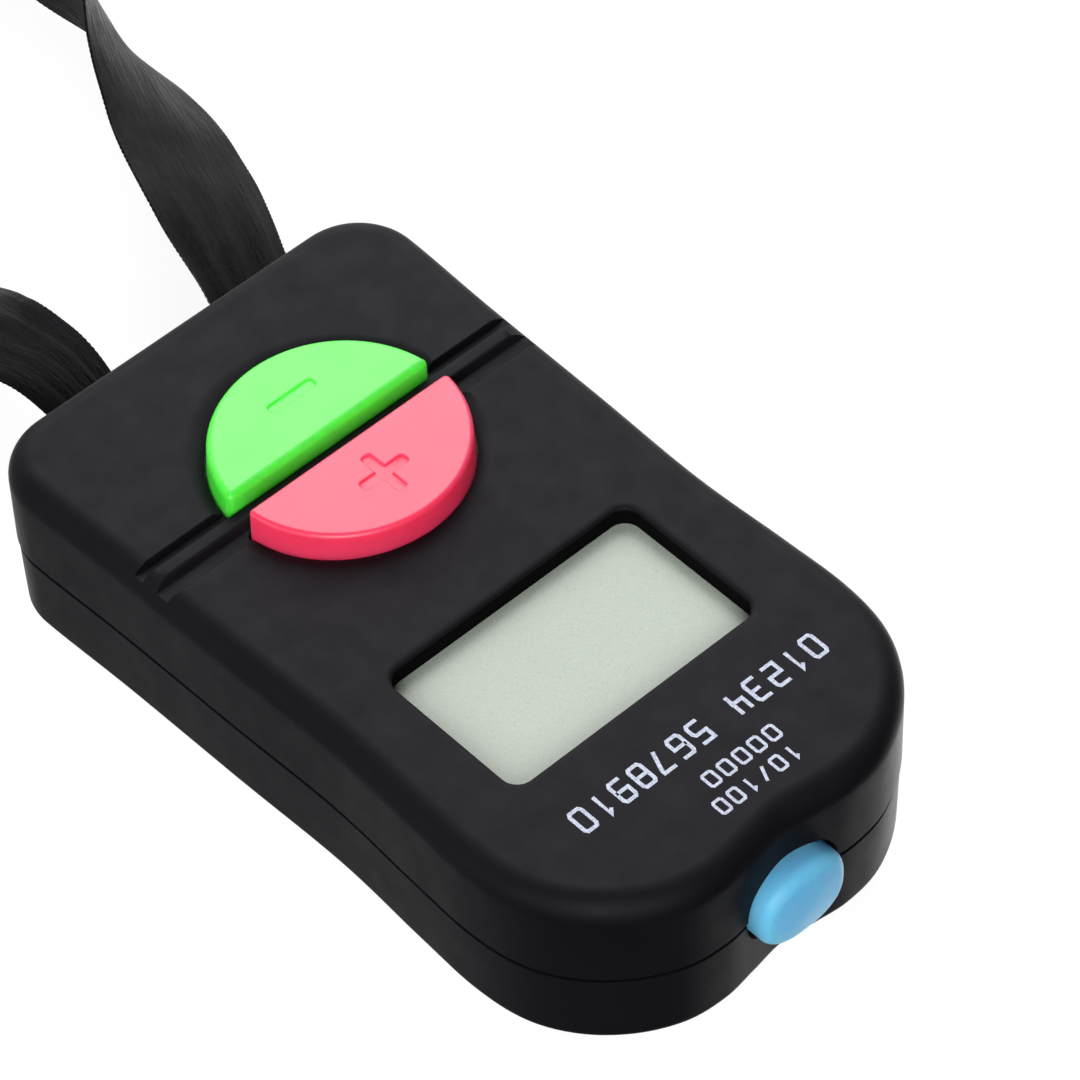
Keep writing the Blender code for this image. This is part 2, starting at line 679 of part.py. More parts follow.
def make_screws(finishes):
    for i, (x, y) in enumerate(CASE_SCREWS):
        centre = (x * MM, along(y * MM))
        profile = (
            (1.3 * MM, 1.0 * MM),
            (1.75 * MM, 1.4 * MM),
            (1.75 * MM, 2.4 * MM),
            (0.85 * MM, 2.4 * MM),
            (0.85 * MM, 10.8 * MM),
            (0.3 * MM, 11.4 * MM),
        )
        screw = object_from(f"case_screw_{i + 1}", turned(centre, profile, 16), finishes["steel"])
        cut_cross(screw, centre, 0.5 * MM, 1.8 * MM, 1.1 * MM)
    head = BOARD_UNDERSIDE - 0.2 * MM
    for i, (x, y) in enumerate(BOARD_SCREWS):
        profile = (
            (1.2 * MM, head - 0.9 * MM),
            (1.5 * MM, head - 0.6 * MM),
            (1.5 * MM, head),
            (0.65 * MM, head),
            (0.65 * MM, 11.5 * MM),
        )
        centre = (x * MM, along(y * MM))
        object_from(f"pcb_screw_{i + 1}", turned(centre, profile, 12), finishes["steel"])


def make_strand(name, route, finish):
    """One stretch of the ribbon outside its coil, as a plain tube."""
    points = [(x * MM, along(y * MM), z * MM) for x, y, z in route]
    dense = through(points, 12)
    kept = [dense[0]]
    for point in dense[1:-1]:
        if (point - kept[-1]).length > STRAND_POINT_SPACING:
            kept.append(point)
    if (dense[-1] - kept[-1]).length < STRAND_POINT_SPACING / 2:
        kept.pop()
    kept.append(dense[-1])
    curve = bpy.data.curves.new(name, "CURVE")
    curve.dimensions = "3D"
    curve.bevel_depth = STRAND_RADIUS
    curve.bevel_resolution = 2
    curve.use_fill_caps = True
    spline = curve.splines.new("POLY")
    spline.points.add(len(kept) - 1)
    for target, point in zip(spline.points, kept):
        target.co = (*point, 1.0)
    curve.materials.append(finish)
    strand = bpy.data.objects.new(name, curve)
    bpy.context.scene.collection.objects.link(strand)


def make_knot(name, x, finish):
    """The tied end of the ribbon, too thick to pull through its slot."""
    radius_x, radius_y, radius_z = KNOT_RADII
    rings = []
    for step in range(1, 8):
        angle = math.pi * (step / 8 - 0.5)
        outline = circle((0, 0), math.cos(angle), 14)
        height = radius_y * math.sin(angle)
        rings.append(
            [(x + radius_x * u, along(KNOT_Y) + height, STRAND_Z + radius_z * v) for u, v in outline]
        )
    object_from(name, loft(rings), finish, smooth_below=60)


def make_lanyard(finishes):
    make_knot("lanyard_knot_left", LEFT_ROUTE[0][0] * MM, finishes["ribbon"])
    make_knot("lanyard_knot_right", RIGHT_ROUTE[0][0] * MM, finishes["ribbon"])
    make_strand("lanyard_strand_left", LEFT_ROUTE, finishes["ribbon"])
    make_strand("lanyard_strand_right", RIGHT_ROUTE, finishes["ribbon"])
    profile = (
        (COIL_RADIUS - 0.8 * MM, 0.0),
        (COIL_RADIUS, 0.8 * MM),
        (COIL_RADIUS, RIBBON_HEIGHT - 0.8 * MM),
        (COIL_RADIUS - 0.8 * MM, RIBBON_HEIGHT),
    )
    centre = (COIL_CENTRE[0], along(COIL_CENTRE[1]))
    object_from("lanyard_coil", turned(centre, profile, 48), finishes["ribbon"])


def make_finishes():
    return {
        "case": material("soft_touch_black", (0.022, 0.021, 0.024), 0.55),
        "black": material("black_plastic", (0.018, 0.018, 0.019), 0.5),
        "green": material("green_plastic", (0.20, 0.95, 0.18), 0.35),
        "pink": material("pink_plastic", (1.0, 0.13, 0.24), 0.35),
        "blue": material("blue_plastic", (0.12, 0.45, 0.75), 0.4),
        "polarizer": material("lcd_film", (0.55, 0.62, 0.52), 0.25),
        "glass": material("lcd_cell", (0.45, 0.52, 0.44), 0.1),
        "frame": material("white_plastic", (0.7, 0.7, 0.68), 0.5),
        "rubber": material("grey_rubber", (0.25, 0.25, 0.26), 0.7),
        "board": material("green_board", (0.02, 0.16, 0.05), 0.45),
        "epoxy": material("black_epoxy", (0.01, 0.01, 0.01), 0.3),
        "ceramic": material("ceramic", (0.35, 0.24, 0.15), 0.5),
        "silicone": material("silicone", (0.75, 0.75, 0.72), 0.6),
        "cell": material("cell_steel", (0.72, 0.72, 0.70), 0.25, 1.0),
        "contact": material("nickel_contact", (0.70, 0.68, 0.62), 0.3, 1.0),
        "steel": material("screw_steel", (0.55, 0.55, 0.56), 0.35, 1.0),
        "ribbon": material("black_ribbon", (0.02, 0.018, 0.02), 0.6),
    }


def main():
    clear_scene()
    finishes = make_finishes()
    make_front_shell(finishes["case"])
    make_back_shell(finishes["case"])
    make_count_button("minus", -1, BAR_LOW, MINUS_Y, finishes["green"])
    make_count_button("plus", 1, PLUS_HOLE_LOW, PLUS_Y, finishes["pink"])
    make_dome("minus", finishes["silicone"])
    make_dome("plus", finishes["silicone"])
    make_display(finishes)
    make_board(finishes)
    make_reset(finishes)
    make_battery(finishes)
    make_battery_door(finishes)
    make_screws(finishes)
    make_lanyard(finishes)


main()
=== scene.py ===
"""The looks of a hand tally counter with a ribbon lanyard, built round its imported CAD."""

import math

import bmesh
import bpy
from mathutils import Matrix, Vector, noise

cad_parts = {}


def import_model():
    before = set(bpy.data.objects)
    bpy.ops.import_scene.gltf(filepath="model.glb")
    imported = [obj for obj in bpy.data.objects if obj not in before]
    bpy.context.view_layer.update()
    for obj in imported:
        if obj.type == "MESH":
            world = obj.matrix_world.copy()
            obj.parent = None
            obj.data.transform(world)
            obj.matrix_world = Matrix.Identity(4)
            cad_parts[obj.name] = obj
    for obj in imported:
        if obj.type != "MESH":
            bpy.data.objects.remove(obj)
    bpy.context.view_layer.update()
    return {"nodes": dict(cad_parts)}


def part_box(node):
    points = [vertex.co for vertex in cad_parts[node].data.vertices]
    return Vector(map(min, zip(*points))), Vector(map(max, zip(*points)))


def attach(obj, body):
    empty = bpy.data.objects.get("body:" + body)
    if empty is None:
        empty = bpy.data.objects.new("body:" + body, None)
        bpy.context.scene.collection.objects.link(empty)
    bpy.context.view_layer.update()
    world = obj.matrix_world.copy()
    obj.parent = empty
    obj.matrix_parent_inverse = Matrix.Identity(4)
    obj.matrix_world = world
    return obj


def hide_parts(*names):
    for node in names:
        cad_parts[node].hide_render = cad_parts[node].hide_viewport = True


MM = 0.001

# Sizes of the case, which repeat the CAD source, because this script can't read it
CASE_LENGTH = 60.8 * MM
RESET_STANDS_OUT = 1.6 * MM
RIBBON_END_Y = -(CASE_LENGTH + RESET_STANDS_OUT) / 2
CASE_HALF_WIDTH = 17.5 * MM
CASE_HEIGHT = 14.4 * MM
CORNER_RADIUS = 5.2 * MM
TOP_EDGE_RADIUS = 1.9 * MM
BASE_EDGE_RADIUS = 0.9 * MM
PARTING_Z = 6.7 * MM
PARTING_GAP = 0.46 * MM
FACE_UNDERSIDE = 13.0 * MM
# (half width, distance from the ribbon end) down the side and round the reset end, in mm
SIDE_POINTS = (
    (17.5, 5.2),
    (17.15, 14.0),
    (16.9, 25.0),
    (16.6, 35.0),
    (16.95, 43.0),
    (17.1, 48.6),
    (16.45, 52.8),
    (14.7, 56.1),
    (12.0, 58.7),
    (8.8, 60.35),
    (5.6, 60.8),
    (2.8, 60.5),
    (0.0, 60.15),
)
# Start and end directions of the curve through those points
SIDE_START = (0, 6 * MM)
SIDE_END = (-2.5 * MM, 0)
# The case screws in the back, as (x, distance from the ribbon end), in mm
CASE_SCREWS = ((-12.6, 5.3), (12.6, 5.3), (-11.4, 52.6), (11.4, 52.6))

# The count buttons and their holes
BUTTON_SIDES = {"minus": -1, "plus": 1}
BUTTON_TOPS = {"minus": 15.9 * MM, "plus": 16.4 * MM}
BUTTON_RADII = {"minus": 9.03 * MM, "plus": 8.98 * MM}
BUTTON_MIDDLES = {"minus": (-0.2 * MM, 17.36 * MM), "plus": (-0.05 * MM, 17.58 * MM)}
BUTTON_EDGES = {"minus": 16.4 * MM, "plus": 18.32 * MM}
BUTTON_ROUNDINGS = {"minus": 0.52 * MM, "plus": 0.38 * MM}
BUTTON_DRAFT = 0.12 * MM
HOLE_EDGES = {"minus": 16.5 * MM, "plus": 18.05 * MM}
HOLE_GAP = 0.2 * MM
# The dished rim round the buttons, as (depth, growth) levels
DISH_LEVELS = (
    (0.55 * MM, 0.0),
    (0.4 * MM, 0.16 * MM),
    (0.26 * MM, 0.4 * MM),
    (0.14 * MM, 0.68 * MM),
    (0.05 * MM, 0.95 * MM),
    (0.01 * MM, 1.15 * MM),
    (0.0, 1.3 * MM),
)
# How much of the dish's depth is lost at the front, and the share of that which the plus
# button's +X corner loses
DISH_LOSS = 0.85
CORNER_SHARE = 0.5
FLANGE_GROWTH = 0.9 * MM
FLANGE_LOW = 11.7 * MM
FLANGE_HIGH = 12.8 * MM
FOOT_PROFILE = (
    (1.45 * MM, 11.44 * MM),
    (1.6 * MM, 11.54 * MM),
    (1.6 * MM, FLANGE_LOW - 0.02 * MM),
)
# Sections of the two channels beside the bar, as (distance along the case, depth), in mm
MINUS_GROOVE = (
    (15.5, -1.0),
    (15.5, 0.0),
    (15.56, 0.02),
    (15.62, 0.1),
    (15.66, 0.6),
    (16.44, 0.6),
    (16.47, 0.3),
    (16.5, 0.12),
    (16.57, 0.03),
    (16.7, 0.0),
    (16.7, -1.0),
)
PLUS_GROOVE = (
    (17.35, -1.0),
    (17.35, 0.0),
    (17.5, 0.05),
    (17.62, 0.15),
    (17.85, 0.6),
    (18.95, 0.6),
    (19.02, 0.3),
    (19.1, 0.1),
    (19.22, 0.02),
    (19.35, 0.0),
    (19.35, -1.0),
)
SYMBOL_Y = {"minus": 12.32 * MM, "plus": 22.1 * MM}
SYMBOL_X = {"minus": -0.3 * MM, "plus": 0.05 * MM}
SYMBOL_LENGTH = 3.9 * MM
SYMBOL_WIDTH = 0.8 * MM
SYMBOL_DEPTH = 0.19 * MM
DOME_Y = {"minus": 12.6 * MM, "plus": 22.6 * MM}

# The display's window, the reset button and the ribbon's slots
WINDOW_HALF_WIDTH = 10.85 * MM
WINDOW_LOW = 33.9 * MM
WINDOW_HIGH = 46.7 * MM
WINDOW_CORNER = 1.3 * MM
RESET_Z = 6.75 * MM
RESET_X = -0.25 * MM
RESET_HALF_WIDTH = 3.7 * MM
RESET_HALF_HEIGHT = 3.13 * MM
SLOT_X = 7.0 * MM
SLOT_WIDTH = 8.0 * MM
SLOT_Z = (5.4 * MM, 8.1 * MM)

# The ribbon's two strands outside the coil, as (x, distance from the ribbon end, z), in mm
LEFT_ROUTE = (
    (-6.4, 2.1, 6.7),
    (-7.9, -0.2, 6.8),
    (-9.8, -4.5, 7.3),
    (-13.2, -12.8, 6.9),
    (-16.0, -19.5, 6.3),
    (-18.1, -24.7, 5.8),
    (-20.4, -31.0, 5.4),
    (-21.6, -36.0, 5.2),
    (-21.9, -43.2, 5.2),
    (-21.4, -52.0, 5.2),
)
RIGHT_ROUTE = (
    (5.4, 2.1, 6.7),
    (5.6, -0.2, 6.8),
    (5.3, -4.0, 7.7),
    (5.1, -8.0, 7.7),
    (5.4, -12.0, 7.0),
    (5.8, -16.0, 6.2),
    (5.2, -21.0, 5.6),
    (2.9, -26.0, 5.3),
    (-0.2, -29.9, 5.2),
)
# The coil, in mm: it is wound on edge, and each turn holds both strands
COIL_CENTRE = (15.3, -66.5)
COIL_Z = 5.2
COIL_PITCH = 8.0
COIL_LEFT_RADIUS = 36.6
COIL_RIGHT_RADIUS = 32.6
COIL_INNER_RADIUS = 19.0
COIL_LEFT_ANGLE = math.radians(172)
COIL_RIGHT_ANGLE = math.radians(140)
RIBBON_WIDTH = 10.0 * MM
RIBBON_THICKNESS = 0.26 * MM
# The ribbon's turn about its line, in degrees: at a slot, then (rise, from, to) along it
SLOT_TILT = 12
LEFT_TILTS = ((20, 4 * MM, 28 * MM), (58, 23.5 * MM, 48 * MM))
RIGHT_TILTS = ((78, 16 * MM, 42 * MM),)
# Its width in each slot as a share of the whole, and where it is free again
LEFT_GATHER = 0.66
RIGHT_GATHER = 0.5
GATHER_RANGE = (2 * MM, 22 * MM)
# The spacing of its rings near the slots and elsewhere
FINE_STEP = 0.25 * MM
COARSE_STEP = 1.6 * MM
LEFT_FINE_LENGTH = 62 * MM
RIGHT_FINE_LENGTH = 30 * MM
RIBBON_COLUMNS = 17
# The small loops of its edges
PICOT_REACH = 0.07 * MM
PICOT_PITCH = 1.05 * MM
# Where it is gathered it has pleats, as a wave across it, and is cupped. It wavers a little
# all along, but not in the slots themselves.
PLEAT_HEIGHT = 2.6 * 0.35 * MM
PLEAT_WAVES = 3.5 * math.pi
PLEAT_SHIFT = 0.6
PLEAT_DRIFT = 60
CUP_HEIGHT = 1.6 * MM
WAVER_HEIGHT = 0.25 * MM
FADE_LENGTH = 4 * MM

# Square-cornered figures on a unit box, as (closed, points) strokes
BOX = ((0.14, 0), (0.86, 0), (1, 0.12), (1, 0.88), (0.86, 1), (0.14, 1), (0, 0.88), (0, 0.12))
FIGURES = {
    "0": [(True, BOX)],
    "1": [(False, ((0.25, 0.78), (0.55, 1), (0.55, 0)))],
    "2": [(False, ((0, 1), (0.86, 1), (1, 0.88), (1, 0.5), (0, 0.5), (0, 0), (1, 0)))],
    "3": [
        (False, ((0, 1), (0.86, 1), (1, 0.88), (1, 0.12), (0.86, 0), (0, 0))),
        (False, ((0.2, 0.5), (1, 0.5))),
    ],
    "4": [(False, ((0, 1), (0, 0.42), (1, 0.42))), (False, ((0.82, 1), (0.82, 0)))],
    "5": [
        (
            False,
            ((1, 1), (0, 1), (0, 0.55), (0.86, 0.55), (1, 0.43), (1, 0.12), (0.86, 0), (0, 0)),
        ),
    ],
    "6": [
        (
            False,
            (
                *((1, 1), (0.14, 1), (0, 0.88), (0, 0.12), (0.14, 0)),
                *((0.86, 0), (1, 0.12), (1, 0.5), (0, 0.5)),
            ),
        ),
    ],
    "7": [(False, ((0, 1), (1, 1), (1, 0.85), (0.4, 0)))],
    "8": [
        (True, BOX),
        (False, ((0, 0.5), (1, 0.5))),
    ],
    "9": [
        (
            False,
            (
                *((0, 0), (0.86, 0), (1, 0.12), (1, 0.88), (0.86, 1)),
                *((0.14, 1), (0, 0.88), (0, 0.5), (1, 0.5)),
            ),
        ),
    ],
    "/": [(False, ((0.15, 0), (0.85, 1)))],
}
# (name, figures, first x, last x, baseline, height, stroke), in mm
PRINT_ROWS = (
    ("print_row_large", "01234 5678910", -11.7, 10.1, 50.4, 2.1, 0.28),
    ("print_row_upper", "10/100", -4.4, 2.8, 56.1, 1.35, 0.22),
    ("print_row_lower", "00000", -4.6, 1.8, 54.05, 1.35, 0.22),
)
# The print's underside and top above the face, in mm; a figure's second stroke is this higher
PRINT_LOW = 0.002
PRINT_HIGH = 0.014
PRINT_LAYER = 0.003

# The camera's directions and place, and its focal length in widths of the frame
CAMERA_FORWARD = (-0.42725, -0.48926, -0.76032)
CAMERA_UP = (-0.52961, -0.54614, 0.64904)
CAMERA_PLACE = (0.15115, 0.17943, 0.29134)
CAMERA_LENS = 5500 / 1080
SENSOR_WIDTH = 36.0
# (name, place, size, watts) of the area lights, which all face the case; the last is below
# the floor, which lets light through
LIGHTS = (
    ("key", (-0.48, -0.54, 0.74), (0.85, 0.85), 10.0),
    ("fill", (0.58, 0.64, 0.5), (0.6, 0.5), 9.0),
    ("side", (0.97, -0.15, 0.3), (0.6, 0.5), 2.4),
    ("table_bounce", (-0.62, -0.08, -0.75), (0.9, 0.9), 7.0),
)
# The world's light by direction: the dot product with this way, plus a half, gives a place on
# these (place, strength) stops
WORLD_WAY = (-0.25, -0.6, -0.2)
WORLD_STOPS = ((0.45, 0.05), (0.8, 0.38), (1.0, 1.2))


def along(distance):
    """Y of a place this far from the flat ribbon end."""
    return RIBBON_END_Y + distance


# Materials


class Nodes:
    """A material's node tree, with short calls to add and join nodes."""

    def __init__(self, name):
        self.material = bpy.data.materials.new(name)
        self.material.use_nodes = True
        self.tree = self.material.node_tree
        self.shader = self.tree.nodes["Principled BSDF"]

    def add(self, kind, **settings):
        node = self.tree.nodes.new("ShaderNode" + kind)
        for key, value in settings.items():
            setattr(node, key, value)
        return node

    def put(self, node, **values):
        for key, value in values.items():
            node.inputs[key.replace("_", " ")].default_value = value

    def link(self, start, end):
        self.tree.links.new(start, end)

    def stretched(self, vector, scale):
        mapping = self.add("Mapping")
        self.put(mapping, Scale=scale)
        self.link(vector, mapping.inputs["Vector"])
        return mapping.outputs["Vector"]

    def position(self, scale=(1, 1, 1)):
        """Object coordinates in metres, which are the part's own frame."""
        return self.stretched(self.add("TexCoord").outputs["Object"], scale)

    def noise(self, vector, scale, detail=3.0, roughness=0.55):
        node = self.add("TexNoise")
        self.put(node, Scale=scale, Detail=detail, Roughness=roughness)
        self.link(vector, node.inputs["Vector"])
        return node.outputs["Fac"]

    def spread(self, value, low, high, start=0.3, end=0.7):
        """A number mapped from start..end to low..high."""
        node = self.add("MapRange")
        self.put(node, From_Min=start, From_Max=end, To_Min=low, To_Max=high)
        self.link(value, node.inputs["Value"])
        return node.outputs["Result"]

    def ramp(self, value, first, second, start=0.3, end=0.7):
        node = self.add("ValToRGB")
        low, high = node.color_ramp.elements
        low.position, high.position = start, end
        low.color, high.color = (*first, 1), (*second, 1)
        self.link(value, node.inputs["Fac"])
        return node.outputs["Color"]

    def bump(self, height, distance, strength=1.0, after=None):
        node = self.add("Bump")
        self.put(node, Strength=strength, Distance=distance)
        self.link(height, node.inputs["Height"])
        if after:
            self.link(after, node.inputs["Normal"])
        return node.outputs["Normal"]

    def colour(self, socket):
        self.link(socket, self.shader.inputs["Base Color"])

    def roughness(self, socket):
        self.link(socket, self.shader.inputs["Roughness"])

    def normal(self, socket):
        self.link(socket, self.shader.inputs["Normal"])


def moulded(name, dark, light, roughness, grain, grain_scale, **constants):
    """Moulded plastic: slightly cloudy colour, uneven gloss and a fine grain of this depth."""
    made = Nodes(name)
    place = made.position()
    cloud = made.noise(place, 90, 2)
    made.colour(made.ramp(cloud, dark, light))
    gloss = made.noise(place, 420, 4)
    made.roughness(made.spread(gloss, roughness[0], roughness[1]))
    fine = made.noise(place, grain_scale, 2, 0.6)
    made.normal(made.bump(fine, grain, 0.6))
    made.put(made.shader, **constants)
    return made.material


def metal(name, tint, roughness, stretch):
    """Plated metal with fine drawn lines."""
    made = Nodes(name)
    made.put(made.shader, Metallic=1.0)
    lines = made.noise(made.position(stretch), 900, 4, 0.7)
    darker = tuple(0.8 * c for c in tint)
    made.colour(made.ramp(lines, darker, tint))
    made.roughness(made.spread(lines, roughness - 0.07, roughness + 0.1))
    made.normal(made.bump(lines, 0.00001, 0.5))
    return made.material


def display_material():
    """A reflective display: pale grey-green with a sparkling fine grain."""
    made = Nodes("display_film")
    place = made.position()
    fine = made.noise(place, 5600, 2, 0.7)
    broad = made.noise(place, 60, 2)
    grain = made.ramp(fine, (0.38, 0.424, 0.368), (0.448, 0.498, 0.436), 0.3, 0.7)
    wide = made.ramp(broad, (0.96, 0.97, 0.96), (1, 1, 1))
    mix = made.add("Mix", data_type="RGBA", blend_type="MULTIPLY")
    mix.inputs["Factor"].default_value = 1.0
    made.link(grain, mix.inputs[6])
    made.link(wide, mix.inputs[7])
    made.colour(mix.outputs[2])
    made.roughness(made.spread(fine, 0.25, 0.4))
    made.normal(made.bump(fine, 0.00001, 0.3))
    made.put(made.shader, Specular_IOR_Level=0.35)
    return made.material


def ribbon_material():
    """Black satin ribbon: ribs and threads along it, a cross weave and cloudy sheen."""
    made = Nodes("satin_ribbon")
    uv = made.add("UVMap", uv_map="ribbon").outputs["UV"]
    thread = made.noise(made.stretched(uv, (9, 70, 1)), 3.0, 5, 0.65)
    cloud = made.noise(made.stretched(uv, (5, 260, 1)), 1.0, 3, 0.6)
    across = made.add("TexWave", wave_type="BANDS", bands_direction="Y")
    made.put(across, Scale=0.16, Distortion=0.6, Detail=1.0)
    made.link(made.stretched(uv, (1, 5200, 1)), across.inputs["Vector"])
    made.colour(made.ramp(cloud, (0.0014, 0.001, 0.0016), (0.0058, 0.0043, 0.0062)))
    made.roughness(made.spread(cloud, 0.36, 0.52))
    first = made.bump(thread, 0.00045, 1.0)
    made.normal(made.bump(across.outputs["Fac"], 0.00001, 0.35, first))
    made.put(made.shader, Specular_IOR_Level=0.07, Sheen_Weight=0.01, Sheen_Roughness=0.4)
    return made.material


def board_material():
    """Green solder mask over copper tracks."""
    made = Nodes("circuit_board")
    place = made.position()
    tracks = made.add("TexBrick")
    made.put(tracks, Scale=260.0, Mortar_Size=0.06, Mortar=(0.04, 0.22, 0.07, 1))
    made.put(tracks, Color1=(0.012, 0.11, 0.035, 1), Color2=(0.010, 0.09, 0.030, 1))
    made.link(place, tracks.inputs["Vector"])
    made.colour(tracks.outputs["Color"])
    made.roughness(made.spread(made.noise(place, 800), 0.3, 0.45))
    made.normal(made.bump(tracks.outputs["Fac"], 0.00002, 0.4))
    return made.material


def print_material():
    """Pale silk-screen ink, a little uneven."""
    made = Nodes("white_print")
    fine = made.noise(made.position(), 6500, 2, 0.7)
    made.colour(made.ramp(fine, (0.26, 0.3, 0.4), (0.62, 0.66, 0.8), 0.3, 0.62))
    made.roughness(made.spread(fine, 0.5, 0.7))
    made.normal(made.bump(fine, 0.00001, 0.5))
    return made.material


# (name, darker colour, lighter colour, roughness range, grain depth, grain scale) of the plain
# mouldings, by finish
PLAIN_MOULDINGS = {
    "black": ("black_plastic", (0.012, 0.012, 0.013), (0.02, 0.02, 0.02), (0.4, 0.5), 1e-5, 3800),
    "white": ("white_plastic", (0.62, 0.62, 0.6), (0.7, 0.7, 0.68), (0.4, 0.55), 1e-5, 3000),
    "rubber": ("grey_rubber", (0.2, 0.2, 0.21), (0.27, 0.27, 0.28), (0.6, 0.8), 2e-5, 2500),
    "silicone": ("silicone", (0.68, 0.68, 0.65), (0.76, 0.76, 0.73), (0.5, 0.65), 1e-5, 2500),
    "epoxy": ("black_epoxy", (0.008,) * 3, (0.014,) * 3, (0.2, 0.35), 3e-5, 900),
    "ceramic": ("ceramic", (0.3, 0.2, 0.12), (0.4, 0.28, 0.18), (0.4, 0.55), 1e-5, 3000),
}
# The same for the coloured buttons, then how far red, green and blue light goes inside
BUTTON_PLASTICS = {
    "green": (
        ("green_plastic", (0.085, 0.86, 0.06), (0.095, 0.9, 0.07), (0.36, 0.42), 4e-6, 4200),
        (0.2, 1.0, 0.15),
        0.68,
    ),
    "pink": (
        ("pink_plastic", (0.99, 0.045, 0.13), (1.0, 0.055, 0.15), (0.36, 0.42), 4e-6, 4200),
        (1.0, 0.15, 0.2),
        0.68,
    ),
    "blue": (
        ("blue_plastic", (0.17, 0.56, 0.98), (0.19, 0.6, 1.0), (0.5, 0.58), 5e-6, 4200),
        (0.3, 0.8, 1.0),
        0.5,
    ),
}


def make_materials():
    finishes = {name: moulded(*numbers) for name, numbers in PLAIN_MOULDINGS.items()}
    for name, (numbers, reach, gloss) in BUTTON_PLASTICS.items():
        finishes[name] = moulded(
            *numbers,
            Subsurface_Weight=1.0,
            Subsurface_Radius=reach,
            Subsurface_Scale=0.002,
            Specular_IOR_Level=gloss,
        )
    return finishes | {
        "case": moulded(
            "soft_touch",
            (0.0035, 0.003, 0.0045),
            (0.0048, 0.0042, 0.006),
            (0.56, 0.64),
            8e-6,
            5200,
            Specular_IOR_Level=0.13,
            Specular_Tint=(1.0, 0.98, 1.08, 1),
            Sheen_Weight=0.08,
            Sheen_Roughness=0.25,
        ),
        # Near-black finish used only for the window's wall sheet: painted shade, darker than the
        # case plastic itself
        "dark": moulded(
            "painted_shade_black",
            (0.0008, 0.0008, 0.0009),
            (0.0014, 0.0014, 0.0015),
            (0.75, 0.85),
            6e-6,
            3800,
            Specular_IOR_Level=0.05,
        ),
        "display": display_material(),
        "print": print_material(),
        "ribbon": ribbon_material(),
        "board": board_material(),
        "steel": metal("screw_steel", (0.58, 0.57, 0.56), 0.3, (1, 1, 0.2)),
        "cell": metal("cell_steel", (0.74, 0.73, 0.71), 0.22, (1, 0.05, 1)),
        "contact": metal("nickel_contact", (0.72, 0.69, 0.62), 0.26, (0.05, 1, 1)),
    }


# Mesh making


def loft(rings):
    """A closed shape through these rings of points."""
    bm = bmesh.new()
    made = [[bm.verts.new(point) for point in ring] for ring in rings]
    for low, high in zip(made, made[1:]):
        for i in range(len(low)):
            j = (i + 1) % len(low)
            bm.faces.new((low[i], low[j], high[j], high[i]))
    bm.faces.new(reversed(made[0]))
    bm.faces.new(made[-1])
    return bm


def object_from(name, bm, material=None, sharp=32, weighted=True):
    """The mesh as an object, smooth but for edges sharper than that many degrees."""
    bmesh.ops.recalc_face_normals(bm, faces=bm.faces)
    mesh = bpy.data.meshes.new(name)
    bm.to_mesh(mesh)
    bm.free()
    obj = bpy.data.objects.new(name, mesh)
    bpy.context.scene.collection.objects.link(obj)
    if material:
        mesh.materials.append(material)
        shade(obj, sharp, weighted)
    return obj


def shade(obj, sharp=32, weighted=True):
    obj.data.shade_smooth()
    obj.data.set_sharp_from_angle(angle=math.radians(sharp))
    if weighted:
        weight = obj.modifiers.new("weighted_normals", "WEIGHTED_NORMAL")
        weight.keep_sharp = True
        weight.weight = 50


def carve(obj, cutters, material):
    """Cuts these shapes out of the object, which is a plain mesh afterwards."""
    for cutter in cutters:
        step = obj.modifiers.new(cutter.name, "BOOLEAN")
        step.operation = "DIFFERENCE"
        step.solver = "EXACT"
        step.object = cutter
    graph = bpy.context.evaluated_depsgraph_get()
    mesh = bpy.data.meshes.new_from_object(obj.evaluated_get(graph))
    obj.modifiers.clear()
    obj.data = mesh
    for cutter in cutters:
        bpy.data.objects.remove(cutter, do_unlink=True)
    bm = bmesh.new()
    bm.from_mesh(mesh)
    bmesh.ops.remove_doubles(bm, verts=bm.verts, dist=1e-7)
    bmesh.ops.dissolve_degenerate(bm, edges=bm.edges, dist=1e-7)
    bm.to_mesh(mesh)
    bm.free()
    mesh.materials.clear()
    mesh.materials.append(material)
    shade(obj)


def at_height(outline, z):
    return [(x, y, z) for x, y in outline]


def prism(name, outline, low, high):
    return object_from(name, loft([at_height(outline, low), at_height(outline, high)]))


def circle(centre, radius, sides):
    turns = [math.tau * i / sides for i in range(sides)]
    return [(centre[0] + radius * math.cos(a), centre[1] + radius * math.sin(a)) for a in turns]


def turned(centre, profile, sides=48):
    """A turned shape; the profile is (radius, height) pairs."""
    return loft([at_height(circle(centre, radius, sides), z) for radius, z in profile])


def rounded_rectangle(x_range, y_range, radius, steps=8):
    (x0, x1), (y0, y1) = x_range, y_range
    outline = []
    for turn, x, y in ((0, x1, y1), (1, x0, y1), (2, x0, y0), (3, x1, y0)):
        inner_x = x - radius if x == x1 else x + radius
        inner_y = y - radius if y == y1 else y + radius
        for step in range(steps + 1):
            angle = math.pi / 2 * (turn + step / steps)
            outline.append((inner_x + radius * math.cos(angle), inner_y + radius * math.sin(angle)))
    return outline


def through(points, steps, start=None, end=None):
    """A smooth curve through the points, as the CAD source draws it, with these directions
    at its ends."""
    points = [Vector(point) for point in points]
    first = Vector(start) if start else points[1] - points[0]
    last = Vector(end) if end else points[-1] - points[-2]
    slopes = [first, *[(b - a) / 2 for a, b in zip(points, points[2:])], last]
    curve = []
    for a, b, ta, tb in zip(points, points[1:], slopes, slopes[1:]):
        for step in range(steps):
            t = step / steps
            curve.append(
                a * (2 * t**3 - 3 * t**2 + 1)
                + ta * (t**3 - 2 * t**2 + t)
                + b * (3 * t**2 - 2 * t**3)
                + tb * (t**3 - t**2)
            )
    curve.append(points[-1])
    return curve


